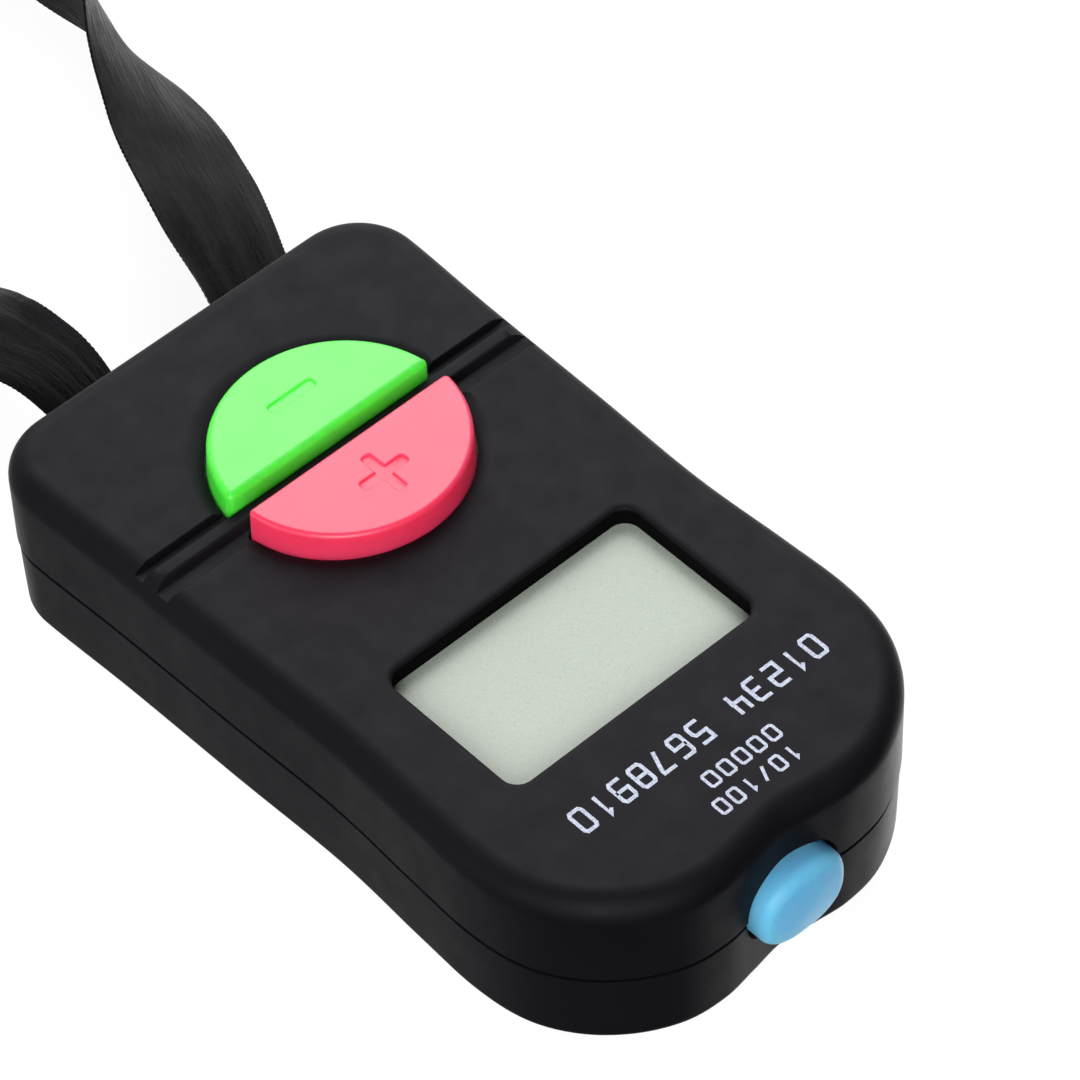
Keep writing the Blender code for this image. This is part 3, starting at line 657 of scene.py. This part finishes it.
def case_half_curve(steps):
    """Points and outward normals round the +X half of the case's outline."""
    centre = Vector((CASE_HALF_WIDTH - CORNER_RADIUS, along(CORNER_RADIUS)))
    points = [Vector((0, RIBBON_END_Y))]
    normals = [Vector((0, -1))]
    corner_steps = 3 * steps
    for step in range(corner_steps):
        angle = math.pi / 2 * (step / corner_steps - 1)
        normal = Vector((math.cos(angle), math.sin(angle)))
        points.append(centre + normal * CORNER_RADIUS)
        normals.append(normal)
    side = [(x * MM, along(y * MM)) for x, y in SIDE_POINTS]
    curve = through(side, steps, SIDE_START, SIDE_END)
    for i, point in enumerate(curve):
        before = curve[max(i - 1, 0)]
        after = curve[min(i + 1, len(curve) - 1)]
        direction = (after - before).normalized()
        points.append(point)
        normals.append(Vector((direction.y, -direction.x)))
    normals[-1] = Vector((0, 1))
    return points, normals


def case_outline(inset, steps=8):
    points, normals = case_half_curve(steps)
    right = [point - normal * inset for point, normal in zip(points, normals)]
    left = [Vector((-point.x, point.y)) for point in right[1:-1]]
    return [tuple(point) for point in right + left[::-1]]


def case_loft(levels, steps=8):
    """A shape that follows the case's outline; the levels are (height, inset) pairs."""
    return loft([at_height(case_outline(inset, steps), z) for z, inset in levels])


def rounded_edge(z_edge, radius, inset, upwards, steps=12):
    """Levels of a rounded edge that ends at the top, or starts at the bottom, at z_edge."""
    levels = []
    for step in range(steps + 1):
        angle = math.pi / 2 * step / steps
        rise, way = radius * math.sin(angle), radius * math.cos(angle)
        if upwards:
            levels.append((z_edge - radius + rise, inset + radius - way))
        else:
            levels.append((z_edge + radius - way, inset + radius - rise))
    return levels


def half_disc(name, rise, growth=0.0, shift=0.0, fillet=0.42 * MM, steps=40, corner_steps=8):
    """A count button's outline, grown by this much, with a straight edge at this distance."""
    side = BUTTON_SIDES[name]
    middle_x, middle_y = BUTTON_MIDDLES[name]
    middle_y += shift
    radius = BUTTON_RADII[name] + growth
    small = fillet + growth
    corner_y = side * (rise - middle_y) + fillet
    corner_x = math.sqrt((radius - small) ** 2 - corner_y**2)
    turn = math.atan2(corner_y, corner_x)
    outline = []
    for step in range(corner_steps + 1):
        angle = -math.pi / 2 + (turn + math.pi / 2) * step / corner_steps
        outline.append((corner_x + small * math.cos(angle), corner_y + small * math.sin(angle)))
    for step in range(1, steps):
        angle = turn + (math.pi - 2 * turn) * step / steps
        outline.append((radius * math.cos(angle), radius * math.sin(angle)))
    mirrored = [(-x, y) for x, y in outline[: corner_steps + 1]]
    outline += mirrored[::-1]
    placed = [(middle_x + x, along(middle_y) + side * y) for x, y in outline]
    return placed[::side]


# Pieces


def window_outline(growth):
    x = WINDOW_HALF_WIDTH + growth
    y_range = (along(WINDOW_LOW - growth), along(WINDOW_HIGH + growth))
    return rounded_rectangle((-x, x), y_range, WINDOW_CORNER + growth)


def window_cutter():
    """The window's opening, with a rim that falls away in a quarter ellipse."""
    rings = [at_height(window_outline(0), FACE_UNDERSIDE - 1 * MM)]
    wide, deep, steps = 0.55 * MM, 0.2 * MM, 8
    for step in range(steps + 1):
        angle = math.pi / 2 * step / steps
        outline = window_outline(wide * (1 - math.cos(angle)))
        rings.append(at_height(outline, CASE_HEIGHT - deep * (1 - math.sin(angle))))
    rings.append(at_height(window_outline(0.6 * MM), CASE_HEIGHT + 1 * MM))
    return object_from("cut_window", loft(rings))


def button_hole_cutter(name):
    """The hole's round side has a wide dished rim, and its straight side a crisp one."""
    side = BUTTON_SIDES[name]
    radius = BUTTON_RADII[name]
    middle = along(BUTTON_MIDDLES[name][1])
    corner_share = CORNER_SHARE if name == "plus" else 0.0
    last = DISH_LEVELS[-1][1]
    rings = []
    for depth, growth in ((4 * MM, 0.0), *DISH_LEVELS, (-1 * MM, last)):
        whole = HOLE_GAP + growth
        edge = HOLE_EDGES[name] + side * (whole - growth * 0.05)
        ring = []
        for x, y in half_disc(name, edge, whole, -0.3 * growth):
            front = min(1.0, max(0.0, (y - middle) / radius))
            corner = corner_share * min(1.0, max(0.0, 2 * x / radius - 1))
            dished = (depth, growth) in DISH_LEVELS
            share = 1 - DISH_LOSS * max(front, corner) if dished else 1.0
            ring.append((x, y, CASE_HEIGHT - depth * share))
        rings.append(ring)
    return object_from(f"cut_{name}_hole", loft(rings))


def groove_cutter(name, section):
    """A shallow channel across the face; the section is (distance, depth) pairs."""
    rings = []
    for x in (-20 * MM, 20 * MM):
        rings.append([(x, along(y * MM), CASE_HEIGHT - depth * MM) for y, depth in section])
    return object_from(f"cut_{name}_groove", loft(rings))


def slot_cutter(name, x):
    """A ribbon slot through the end wall."""
    outline = rounded_rectangle((x - SLOT_WIDTH / 2, x + SLOT_WIDTH / 2), SLOT_Z, 1.0 * MM, 6)
    rings = [[(u, along(far), v) for u, v in outline] for far in (-1 * MM, 2.4 * MM)]
    return object_from(name, loft(rings))


def pillow(grow, distance, share=1.0, power=2.5, sides=64):
    """The reset button's rounded section, grown by this much, then scaled to this share."""
    ring = []
    for i in range(sides):
        angle = math.tau * i / sides
        c, s = math.cos(angle), math.sin(angle)
        x = share * (RESET_HALF_WIDTH + grow) * math.copysign(abs(c) ** (2 / power), c)
        z = share * (RESET_HALF_HEIGHT + grow) * math.copysign(abs(s) ** (2 / power), s)
        ring.append((RESET_X + x, along(distance), RESET_Z + z))
    return ring


def reset_opening_cutter(name):
    return object_from(name, loft([pillow(0.3 * MM, 57.8 * MM), pillow(0.3 * MM, 63 * MM)]))


def make_front_shell(finishes):
    bottom = PARTING_Z + PARTING_GAP / 2
    levels = [
        (bottom, 0.06 * MM),
        (bottom + 0.02 * MM, 0.02 * MM),
        (bottom + 0.06 * MM, 0.0),
        (CASE_HEIGHT - TOP_EDGE_RADIUS - 0.6 * MM, 0.0),
        *rounded_edge(CASE_HEIGHT, TOP_EDGE_RADIUS, 0.0, upwards=True),
    ]
    shell = object_from("front_cover", case_loft(levels))
    cavity = [
        (bottom - 1 * MM, 0.9 * MM),
        (8.3 * MM, 0.9 * MM),
        (8.3 * MM, 1.6 * MM),
        (FACE_UNDERSIDE, 1.6 * MM),
    ]
    cutters = [
        object_from("cut_front_cavity", case_loft(cavity, 3)),
        window_cutter(),
        groove_cutter("minus", MINUS_GROOVE),
        groove_cutter("plus", PLUS_GROOVE),
        button_hole_cutter("minus"),
        button_hole_cutter("plus"),
        slot_cutter("cut_front_slot_left", -SLOT_X),
        slot_cutter("cut_front_slot_right", SLOT_X),
        reset_opening_cutter("cut_front_reset"),
    ]
    carve(shell, cutters, finishes["case"])
    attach(shell, "case")
    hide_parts("front_shell")


def make_window_painted_shade(finishes):
    """Painted shade: a matt near-black sheet a hair inside the case's own window wall, standing in
    for the deep shadow there.
    """
    levels = (
        (1.75 * MM, -0.015 * MM),
        (0.3 * MM, -0.015 * MM),
        (0.24 * MM, 0.02 * MM),
        (0.34 * MM, 0.3 * MM),
        (1.75 * MM, 0.3 * MM),
    )
    # The sheet is painted shade over the window's walls, not a part of the counter
    bm = bmesh.new()
    rows = []
    for depth, growth in levels:
        ring = at_height(window_outline(growth), CASE_HEIGHT - depth)
        rows.append([bm.verts.new(point) for point in ring])
    count = len(rows[0])
    for a, b in zip(rows, rows[1:] + rows[:1]):
        for i in range(count):
            j = (i + 1) % count
            bm.faces.new((a[i], b[i], b[j], a[j]))
    liner = object_from("window_painted_shade", bm, finishes["dark"])
    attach(liner, "case")


def make_back_shell(finishes):
    top = PARTING_Z - PARTING_GAP / 2
    levels = [
        *rounded_edge(0.0, BASE_EDGE_RADIUS, 0.22 * MM, upwards=False),
        (3.0 * MM, 0.17 * MM),
        (top - 0.06 * MM, 0.1 * MM),
        (top - 0.02 * MM, 0.12 * MM),
        (top, 0.16 * MM),
        (top, 1.5 * MM),
        (8.05 * MM, 1.5 * MM),
    ]
    shell = object_from("back_cover", case_loft(levels))
    wall = 1.9 * MM
    cutters = [object_from("cut_back_cavity", case_loft([(wall, wall), (10 * MM, wall)], 3))]
    door_y = (along(15.4 * MM), along(37.6 * MM))
    recess = rounded_rectangle((-8.0 * MM, 8.0 * MM), door_y, 1.5 * MM)
    cutters.append(prism("cut_door_recess", recess, -1 * MM, 1.15 * MM))
    cell_well = turned((0, along(24 * MM)), ((6.2 * MM, -1 * MM), (6.2 * MM, 8 * MM)), 64)
    cutters.append(object_from("cut_cell_well", cell_well))
    pilot = turned((0, along(33.6 * MM)), ((1.05 * MM, 0.5 * MM), (1.05 * MM, 5 * MM)), 24)
    cutters.append(object_from("cut_door_pilot", pilot))
    bore_profile = (
        (2.6 * MM, -0.5 * MM),
        (2.28 * MM, 0.02 * MM),
        (2.14 * MM, 0.12 * MM),
        (2.1 * MM, 0.3 * MM),
        (2.1 * MM, 2.6 * MM),
    )
    for i, (x, y) in enumerate(CASE_SCREWS):
        bore = turned((x * MM, along(y * MM)), bore_profile, 40)
        cutters.append(object_from(f"cut_case_bore_{i}", bore))
    cutters += [
        slot_cutter("cut_back_slot_left", -SLOT_X),
        slot_cutter("cut_back_slot_right", SLOT_X),
        reset_opening_cutter("cut_back_reset"),
    ]
    carve(shell, cutters, finishes["case"])
    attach(shell, "case")
    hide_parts("back_shell")


def symbol_cutter(name, x_size, y_size, x, y, top):
    """A bar-shaped engraving with round ends, a flat floor and a softened brim."""
    rings = []
    radius = min(x_size, y_size) / 2
    levels = (
        (SYMBOL_DEPTH, -0.08 * MM),
        (SYMBOL_DEPTH - 0.04 * MM, -0.01 * MM),
        (0.09 * MM, 0.0),
        (0.03 * MM, 0.05 * MM),
        (0.0, 0.14 * MM),
        (-0.5 * MM, 0.14 * MM),
    )
    for depth, growth in levels:
        outline = rounded_rectangle(
            (x - x_size / 2 - growth, x + x_size / 2 + growth),
            (y - y_size / 2 - growth, y + y_size / 2 + growth),
            (radius + growth) * 0.7,
            5,
        )
        rings.append(at_height(outline, top - depth))
    return object_from(name, loft(rings))


def make_count_button(name, finish):
    """A count button with its flange under the face and its foot over the dome."""
    top = BUTTON_TOPS[name]
    edge = BUTTON_EDGES[name]
    rounding = BUTTON_ROUNDINGS[name]
    side = BUTTON_SIDES[name]
    flange = half_disc(name, edge + side * 0.3 * MM, FLANGE_GROWTH)
    skirt = half_disc(name, edge + side * BUTTON_DRAFT, BUTTON_DRAFT)
    rings = [
        at_height(flange, FLANGE_LOW),
        at_height(flange, FLANGE_HIGH),
        at_height(skirt, FLANGE_HIGH),
        at_height(skirt, top - 2.4 * MM),
    ]
    steps = 7
    for step in range(steps + 1):
        angle = math.pi / 2 * step / steps
        inset = rounding * (1 - math.cos(angle))
        z = top - rounding + rounding * math.sin(angle)
        rings.append(at_height(half_disc(name, edge, -inset), z))
    button = object_from(f"{name}_cap", loft(rings))
    place = (SYMBOL_X[name], along(SYMBOL_Y[name]), top)
    cutters = [symbol_cutter(f"cut_{name}_bar", SYMBOL_LENGTH, SYMBOL_WIDTH, *place)]
    if name == "plus":
        across = symbol_cutter(f"cut_{name}_cross_bar", SYMBOL_WIDTH, SYMBOL_LENGTH, *place)
        cutters.append(across)
    carve(button, cutters, finish)
    foot = object_from(f"{name}_cap_foot", turned((0, along(DOME_Y[name])), FOOT_PROFILE), finish)
    for piece in (button, foot):
        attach(piece, f"{name}_button")
    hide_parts(f"{name}_button")


def make_reset_button(finishes):
    front = CASE_LENGTH + RESET_STANDS_OUT
    rings = [
        pillow(1.0 * MM, 56.6 * MM),
        pillow(1.0 * MM, 57.7 * MM),
        pillow(0, 57.7 * MM),
        pillow(0, 59.6 * MM),
        pillow(0, front - 1.3 * MM),
    ]
    rounding = 1.0 * MM
    dome = 0.25 * MM
    steps = 10
    for step in range(1, steps + 1):
        angle = math.pi / 2 * step / steps
        inset = rounding * (1 - math.cos(angle))
        rings.append(pillow(-inset, front - dome - rounding + rounding * math.sin(angle)))
    for share in (0.75, 0.5, 0.25, 0.04):
        rings.append(pillow(-rounding, front - dome * share * share, share))
    button = object_from("reset_cap", loft(rings), finishes["blue"], 50)
    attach(button, "reset_button")
    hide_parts("reset_button")


def make_display(finishes):
    """The display's top film, in the place of its CAD node."""
    low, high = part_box("lcd_polarizer")
    film = rounded_rectangle((low.x, high.x), (low.y, high.y), 0.5 * MM)
    rings = [at_height(film, low.z), at_height(film, high.z)]
    piece = object_from("display_film", loft(rings), finishes["display"])
    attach(piece, "case")
    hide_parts("lcd_polarizer")


def stroke_outline(line, half_width, closed):
    """The two edges of a stroke along a polyline, with mitred corners."""
    points = [Vector(point) for point in line]
    left, right = [], []
    for i, point in enumerate(points):
        before = points[i - 1] if i or closed else None
        after = points[(i + 1) % len(points)] if i + 1 < len(points) or closed else None
        one = (point - before).normalized() if before else (after - point).normalized()
        two = (after - point).normalized() if after else one
        normal = Vector((-one.y - two.y, one.x + two.x)).normalized()
        reach = half_width / max(0.5, normal.dot(Vector((-one.y, one.x))))
        left.append(point + normal * reach)
        right.append(point - normal * reach)
    return left, right


def make_print(finishes):
    """Printed rows of plain figures on the face, in square strokes."""
    for name, figures, start, end, baseline, cap, stroke in PRINT_ROWS:
        pitch = (end - start) / (len(figures) - 0.25)
        glyph_width = pitch * 0.75
        bm = bmesh.new()
        for place, figure in enumerate(figures):
            left_side = start + pitch * place
            for layer, (closed, line) in enumerate(FIGURES.get(figure, ())):
                scaled = []
                for u, v in line:
                    x = left_side + stroke / 2 + u * (glyph_width - stroke)
                    y = baseline + stroke / 2 + v * (cap - stroke)
                    scaled.append((x, y))
                edges = stroke_outline(scaled, stroke / 2, closed)
                levels = (PRINT_LOW, PRINT_HIGH + PRINT_LAYER * layer)
                rows = []
                for edge in edges:
                    for level in levels:
                        z = CASE_HEIGHT + level * MM
                        rows.append([bm.verts.new((x * MM, along(y * MM), z)) for x, y in edge])
                low_left, high_left, low_right, high_right = rows
                count = len(scaled)
                for i in range(count if closed else count - 1):
                    j = (i + 1) % count
                    for a, b in (
                        (high_left, high_right),
                        (low_right, low_left),
                        (high_right, low_right),
                        (low_left, high_left),
                    ):
                        bm.faces.new((a[i], a[j], b[j], b[i]))
                if not closed:
                    for i in (0, count - 1):
                        bm.faces.new((low_left[i], high_left[i], high_right[i], low_right[i]))
        piece = object_from(name, bm, finishes["print"], weighted=False)
        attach(piece, "case")


def coil_point(centre, angle, radius):
    x, y = centre[0] + radius * math.cos(angle), centre[1] + radius * math.sin(angle)
    return (x, y, COIL_Z)


def spiral(outer, start, places):
    """Points of one strand in the coil, at these ninetieths of its way in from the start turn,
    and the angle at its inner end."""
    pitch = COIL_PITCH / math.tau
    end = (outer - COIL_INNER_RADIUS) / pitch
    turns = [start + (end - start) * i / 90 for i in places]
    points = [coil_point(COIL_CENTRE, COIL_LEFT_ANGLE + t, outer - pitch * t) for t in turns]
    return points, COIL_LEFT_ANGLE + end


def ribbon_route():
    """The whole ribbon's centreline in metres: out by the left slot, wound on edge as two
    strands side by side round an S, and back by the right slot."""
    way_in, end_angle = spiral(COIL_LEFT_RADIUS, 0, range(0, 91, 4))
    start_turn = COIL_RIGHT_ANGLE - COIL_LEFT_ANGLE
    way_out, _ = spiral(COIL_RIGHT_RADIUS, start_turn, range(90, -1, -4))
    small = COIL_INNER_RADIUS / 2
    first = coil_point(COIL_CENTRE, end_angle, small)
    second = coil_point(COIL_CENTRE, end_angle, -small)
    heart = [coil_point(first, end_angle + math.pi * i / 12, small) for i in range(2, 13, 2)]
    heart += [coil_point(second, end_angle - math.pi * i / 12, small) for i in range(2, 12, 2)]
    controls = [*LEFT_ROUTE, *way_in, *heart, *way_out, *RIGHT_ROUTE[::-1]]
    curve = through(controls, 16)
    return [Vector((p.x * MM, along(p.y * MM), p.z * MM)) for p in curve]


def resampled(curve, spacing_at):
    """Points along the curve, with a spacing that depends on the length so far and the rest."""
    lengths = [0.0]
    for a, b in zip(curve, curve[1:]):
        lengths.append(lengths[-1] + (b - a).length)
    total = lengths[-1]
    stations = [0.0]
    while stations[-1] < total - 0.0004:
        stations.append(stations[-1] + spacing_at(stations[-1], total - stations[-1]))
    stations[-1] = total
    points = []
    index = 0
    for station in stations:
        while index < len(lengths) - 2 and lengths[index + 1] < station:
            index += 1
        share = (station - lengths[index]) / max(lengths[index + 1] - lengths[index], 1e-12)
        points.append(curve[index].lerp(curve[index + 1], share))
    return points, stations, total


def smooth(value, start, end):
    t = min(1.0, max(0.0, (value - start) / (end - start)))
    return t * t * (3 - 2 * t)


def ribbon_tilt(distance, tilts):
    """The turn of the ribbon about its line, in degrees: 0 is flat and 90 is on edge."""
    return SLOT_TILT + sum(rise * smooth(distance, start, end) for rise, start, end in tilts)


def ribbon_step(done, rest):
    """The spacing of the ribbon's rings at a place along it."""
    return FINE_STEP if done < LEFT_FINE_LENGTH or rest < RIGHT_FINE_LENGTH else COARSE_STEP


def ribbon_rings():
    """The ribbon's centreline, how far along it each point is, and a row of (place, normal)
    pairs across the ribbon at each."""
    points, stations, total = resampled(ribbon_route(), ribbon_step)
    rings = []
    for i, (point, station) in enumerate(zip(points, stations)):
        before, after = points[max(i - 1, 0)], points[min(i + 1, len(points) - 1)]
        tangent = (after - before).normalized()
        level = Vector((0, 0, 1)).cross(tangent).normalized()
        upright = tangent.cross(level).normalized()
        rest = total - station
        near = min(station, rest)
        if station < rest:
            narrow, tilt = LEFT_GATHER, math.radians(ribbon_tilt(station, LEFT_TILTS))
        else:
            narrow, tilt = RIGHT_GATHER, math.radians(180 - ribbon_tilt(rest, RIGHT_TILTS))
        across = level * math.cos(tilt) + upright * math.sin(tilt)
        normal = tangent.cross(across).normalized()
        gather = narrow + (1 - narrow) * smooth(near, *GATHER_RANGE)
        picot = PICOT_REACH * math.sin(station / PICOT_PITCH * math.tau)
        fade = smooth(near, 0.0, FADE_LENGTH)
        ring = []
        for c in range(RIBBON_COLUMNS):
            u = 2 * c / (RIBBON_COLUMNS - 1) - 1
            wave = math.cos(u * PLEAT_WAVES + PLEAT_SHIFT + station * PLEAT_DRIFT)
            lift = (1 - gather) * (PLEAT_HEIGHT * wave + CUP_HEIGHT * u * u)
            lift += WAVER_HEIGHT * noise.noise(Vector((u * 1.3, station * 160, 3.0)))
            reach = RIBBON_WIDTH / 2 * gather * u
            if c in (0, RIBBON_COLUMNS - 1):
                reach += math.copysign(picot, u)
            ring.append((point + across * reach + normal * lift * fade, normal))
        rings.append(ring)
    return points, stations, rings


def make_ribbon(finishes):
    points, stations, rings = ribbon_rings()
    columns = RIBBON_COLUMNS
    half = RIBBON_THICKNESS / 2
    bm = bmesh.new()
    layer = bm.loops.layers.uv.new("ribbon")
    upper = [[bm.verts.new(p + n * half) for p, n in ring] for ring in rings]
    lower = [[bm.verts.new(p - n * half) for p, n in ring] for ring in rings]
    places = {}
    for rows in (upper, lower):
        for station, row in zip(stations, rows):
            for c, vertex in enumerate(row):
                places[vertex] = (c / (columns - 1), station)
    last = len(stations) - 1
    for i in range(last):
        for c in range(columns - 1):
            bm.faces.new((upper[i][c], upper[i + 1][c], upper[i + 1][c + 1], upper[i][c + 1]))
            bm.faces.new((lower[i][c], lower[i][c + 1], lower[i + 1][c + 1], lower[i + 1][c]))
        bm.faces.new((upper[i][0], lower[i][0], lower[i + 1][0], upper[i + 1][0]))
        bm.faces.new((upper[i][-1], upper[i + 1][-1], lower[i + 1][-1], lower[i][-1]))
    for end, flip in ((0, False), (last, True)):
        for c in range(columns - 1):
            face = (upper[end][c], upper[end][c + 1], lower[end][c + 1], lower[end][c])
            bm.faces.new(face[::-1] if flip else face)
    for face in bm.faces:
        for loop in face.loops:
            loop[layer].uv = places[loop.vert]
    ribbon = object_from("lanyard_ribbon", bm, finishes["ribbon"], 50, weighted=False)
    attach(ribbon, "case")
    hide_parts("lanyard_strand_left", "lanyard_strand_right", "lanyard_coil")


def paint_cad_nodes(nodes, finishes):
    """Every CAD node's material; those not named here are screws and switch metal."""
    looks = {
        "battery_door": "black",
        "reset_switch_plunger": "black",
        "lcd_glass": "display",
        "lcd_frame": "white",
        "zebra_strip": "rubber",
        "plus_dome": "silicone",
        "minus_dome": "silicone",
        "main_pcb": "board",
        "chip_blob": "epoxy",
        "pcb_capacitor": "ceramic",
        "battery_cell": "cell",
        "battery_contact_positive": "contact",
        "battery_contact_negative": "contact",
        "lanyard_knot_left": "black",
        "lanyard_knot_right": "black",
    }
    for name, node in nodes.items():
        finish = finishes[looks.get(name, "steel")]
        node.data.materials.clear()
        node.data.materials.append(finish)


# Stage


def make_camera():
    forward, up = Vector(CAMERA_FORWARD), Vector(CAMERA_UP)
    right = forward.cross(up)
    data = bpy.data.cameras.new("camera")
    data.sensor_width = SENSOR_WIDTH
    data.lens = SENSOR_WIDTH * CAMERA_LENS
    data.clip_start = 0.01
    data.clip_end = 10.0
    camera = bpy.data.objects.new("camera", data)
    turn = Matrix((right, up, -forward)).transposed().to_4x4()
    camera.matrix_world = Matrix.Translation(CAMERA_PLACE) @ turn
    bpy.context.scene.collection.objects.link(camera)
    bpy.context.scene.camera = camera


def area_light(name, place, size, power):
    data = bpy.data.lights.new(name, "AREA")
    data.shape = "RECTANGLE"
    data.size, data.size_y = size
    data.energy = power
    light = bpy.data.objects.new(name, data)
    light.location = place
    light.rotation_euler = (-Vector(place)).to_track_quat("-Z", "Y").to_euler()
    bpy.context.scene.collection.objects.link(light)


def make_world():
    """Soft light that grows towards -Y, behind the ribbon end, and is dim elsewhere."""
    world = bpy.data.worlds.new("studio")
    bpy.context.scene.world = world
    world.use_nodes = True
    tree = world.node_tree
    background = tree.nodes["Background"]
    place = tree.nodes.new("ShaderNodeTexCoord")
    ramp = tree.nodes.new("ShaderNodeValToRGB")
    stops = ramp.color_ramp.elements
    stops[0].position, stops[1].position = WORLD_STOPS[0][0], WORLD_STOPS[-1][0]
    stops.new(WORLD_STOPS[1][0])
    for stop, (_, strength) in zip(stops, WORLD_STOPS):
        stop.color = (strength, strength, strength, 1)
    away = tree.nodes.new("ShaderNodeVectorMath")
    away.operation = "DOT_PRODUCT"
    away.inputs[1].default_value = WORLD_WAY
    shift = tree.nodes.new("ShaderNodeMath")
    shift.operation = "ADD"
    shift.inputs[1].default_value = 0.5
    tree.links.new(place.outputs["Generated"], away.inputs[0])
    tree.links.new(away.outputs["Value"], shift.inputs[0])
    tree.links.new(shift.outputs["Value"], ramp.inputs["Fac"])
    tree.links.new(ramp.outputs["Color"], background.inputs["Color"])


def make_stage():
    """A floor that glows evenly, and neither shades the object nor shows in it, and the lights."""
    made = Nodes("pale_floor")
    fine = made.noise(made.position(), 30, 3)
    made.colour(made.ramp(fine, (0.13, 0.13, 0.13), (0.15, 0.15, 0.15)))
    made.put(made.shader, Roughness=0.9, Specular_IOR_Level=0.1)
    made.put(made.shader, Emission_Color=(1, 1, 1, 1), Emission_Strength=0.92)
    bm = bmesh.new()
    bmesh.ops.create_grid(bm, x_segments=8, y_segments=8, size=3.0)
    bmesh.ops.translate(bm, verts=bm.verts, vec=(0, 0, -0.0001))
    floor = object_from("floor", bm, made.material, weighted=False)
    floor.visible_glossy = False
    floor.visible_diffuse = False
    floor.visible_shadow = False
    for light in LIGHTS:
        area_light(*light)
    make_world()
    scene = bpy.context.scene
    scene.view_settings.view_transform = "Standard"
    scene.view_settings.look = "None"
    scene.view_settings.exposure = 0.0


def main():
    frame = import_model()
    make_camera()
    finishes = make_materials()
    make_ribbon(finishes)
    paint_cad_nodes(frame["nodes"], finishes)
    make_front_shell(finishes)
    make_window_painted_shade(finishes)
    make_back_shell(finishes)
    make_count_button("minus", finishes["green"])
    make_count_button("plus", finishes["pink"])
    make_reset_button(finishes)
    make_display(finishes)
    make_print(finishes)
    make_stage()
    bpy.context.view_layer.update()


main()
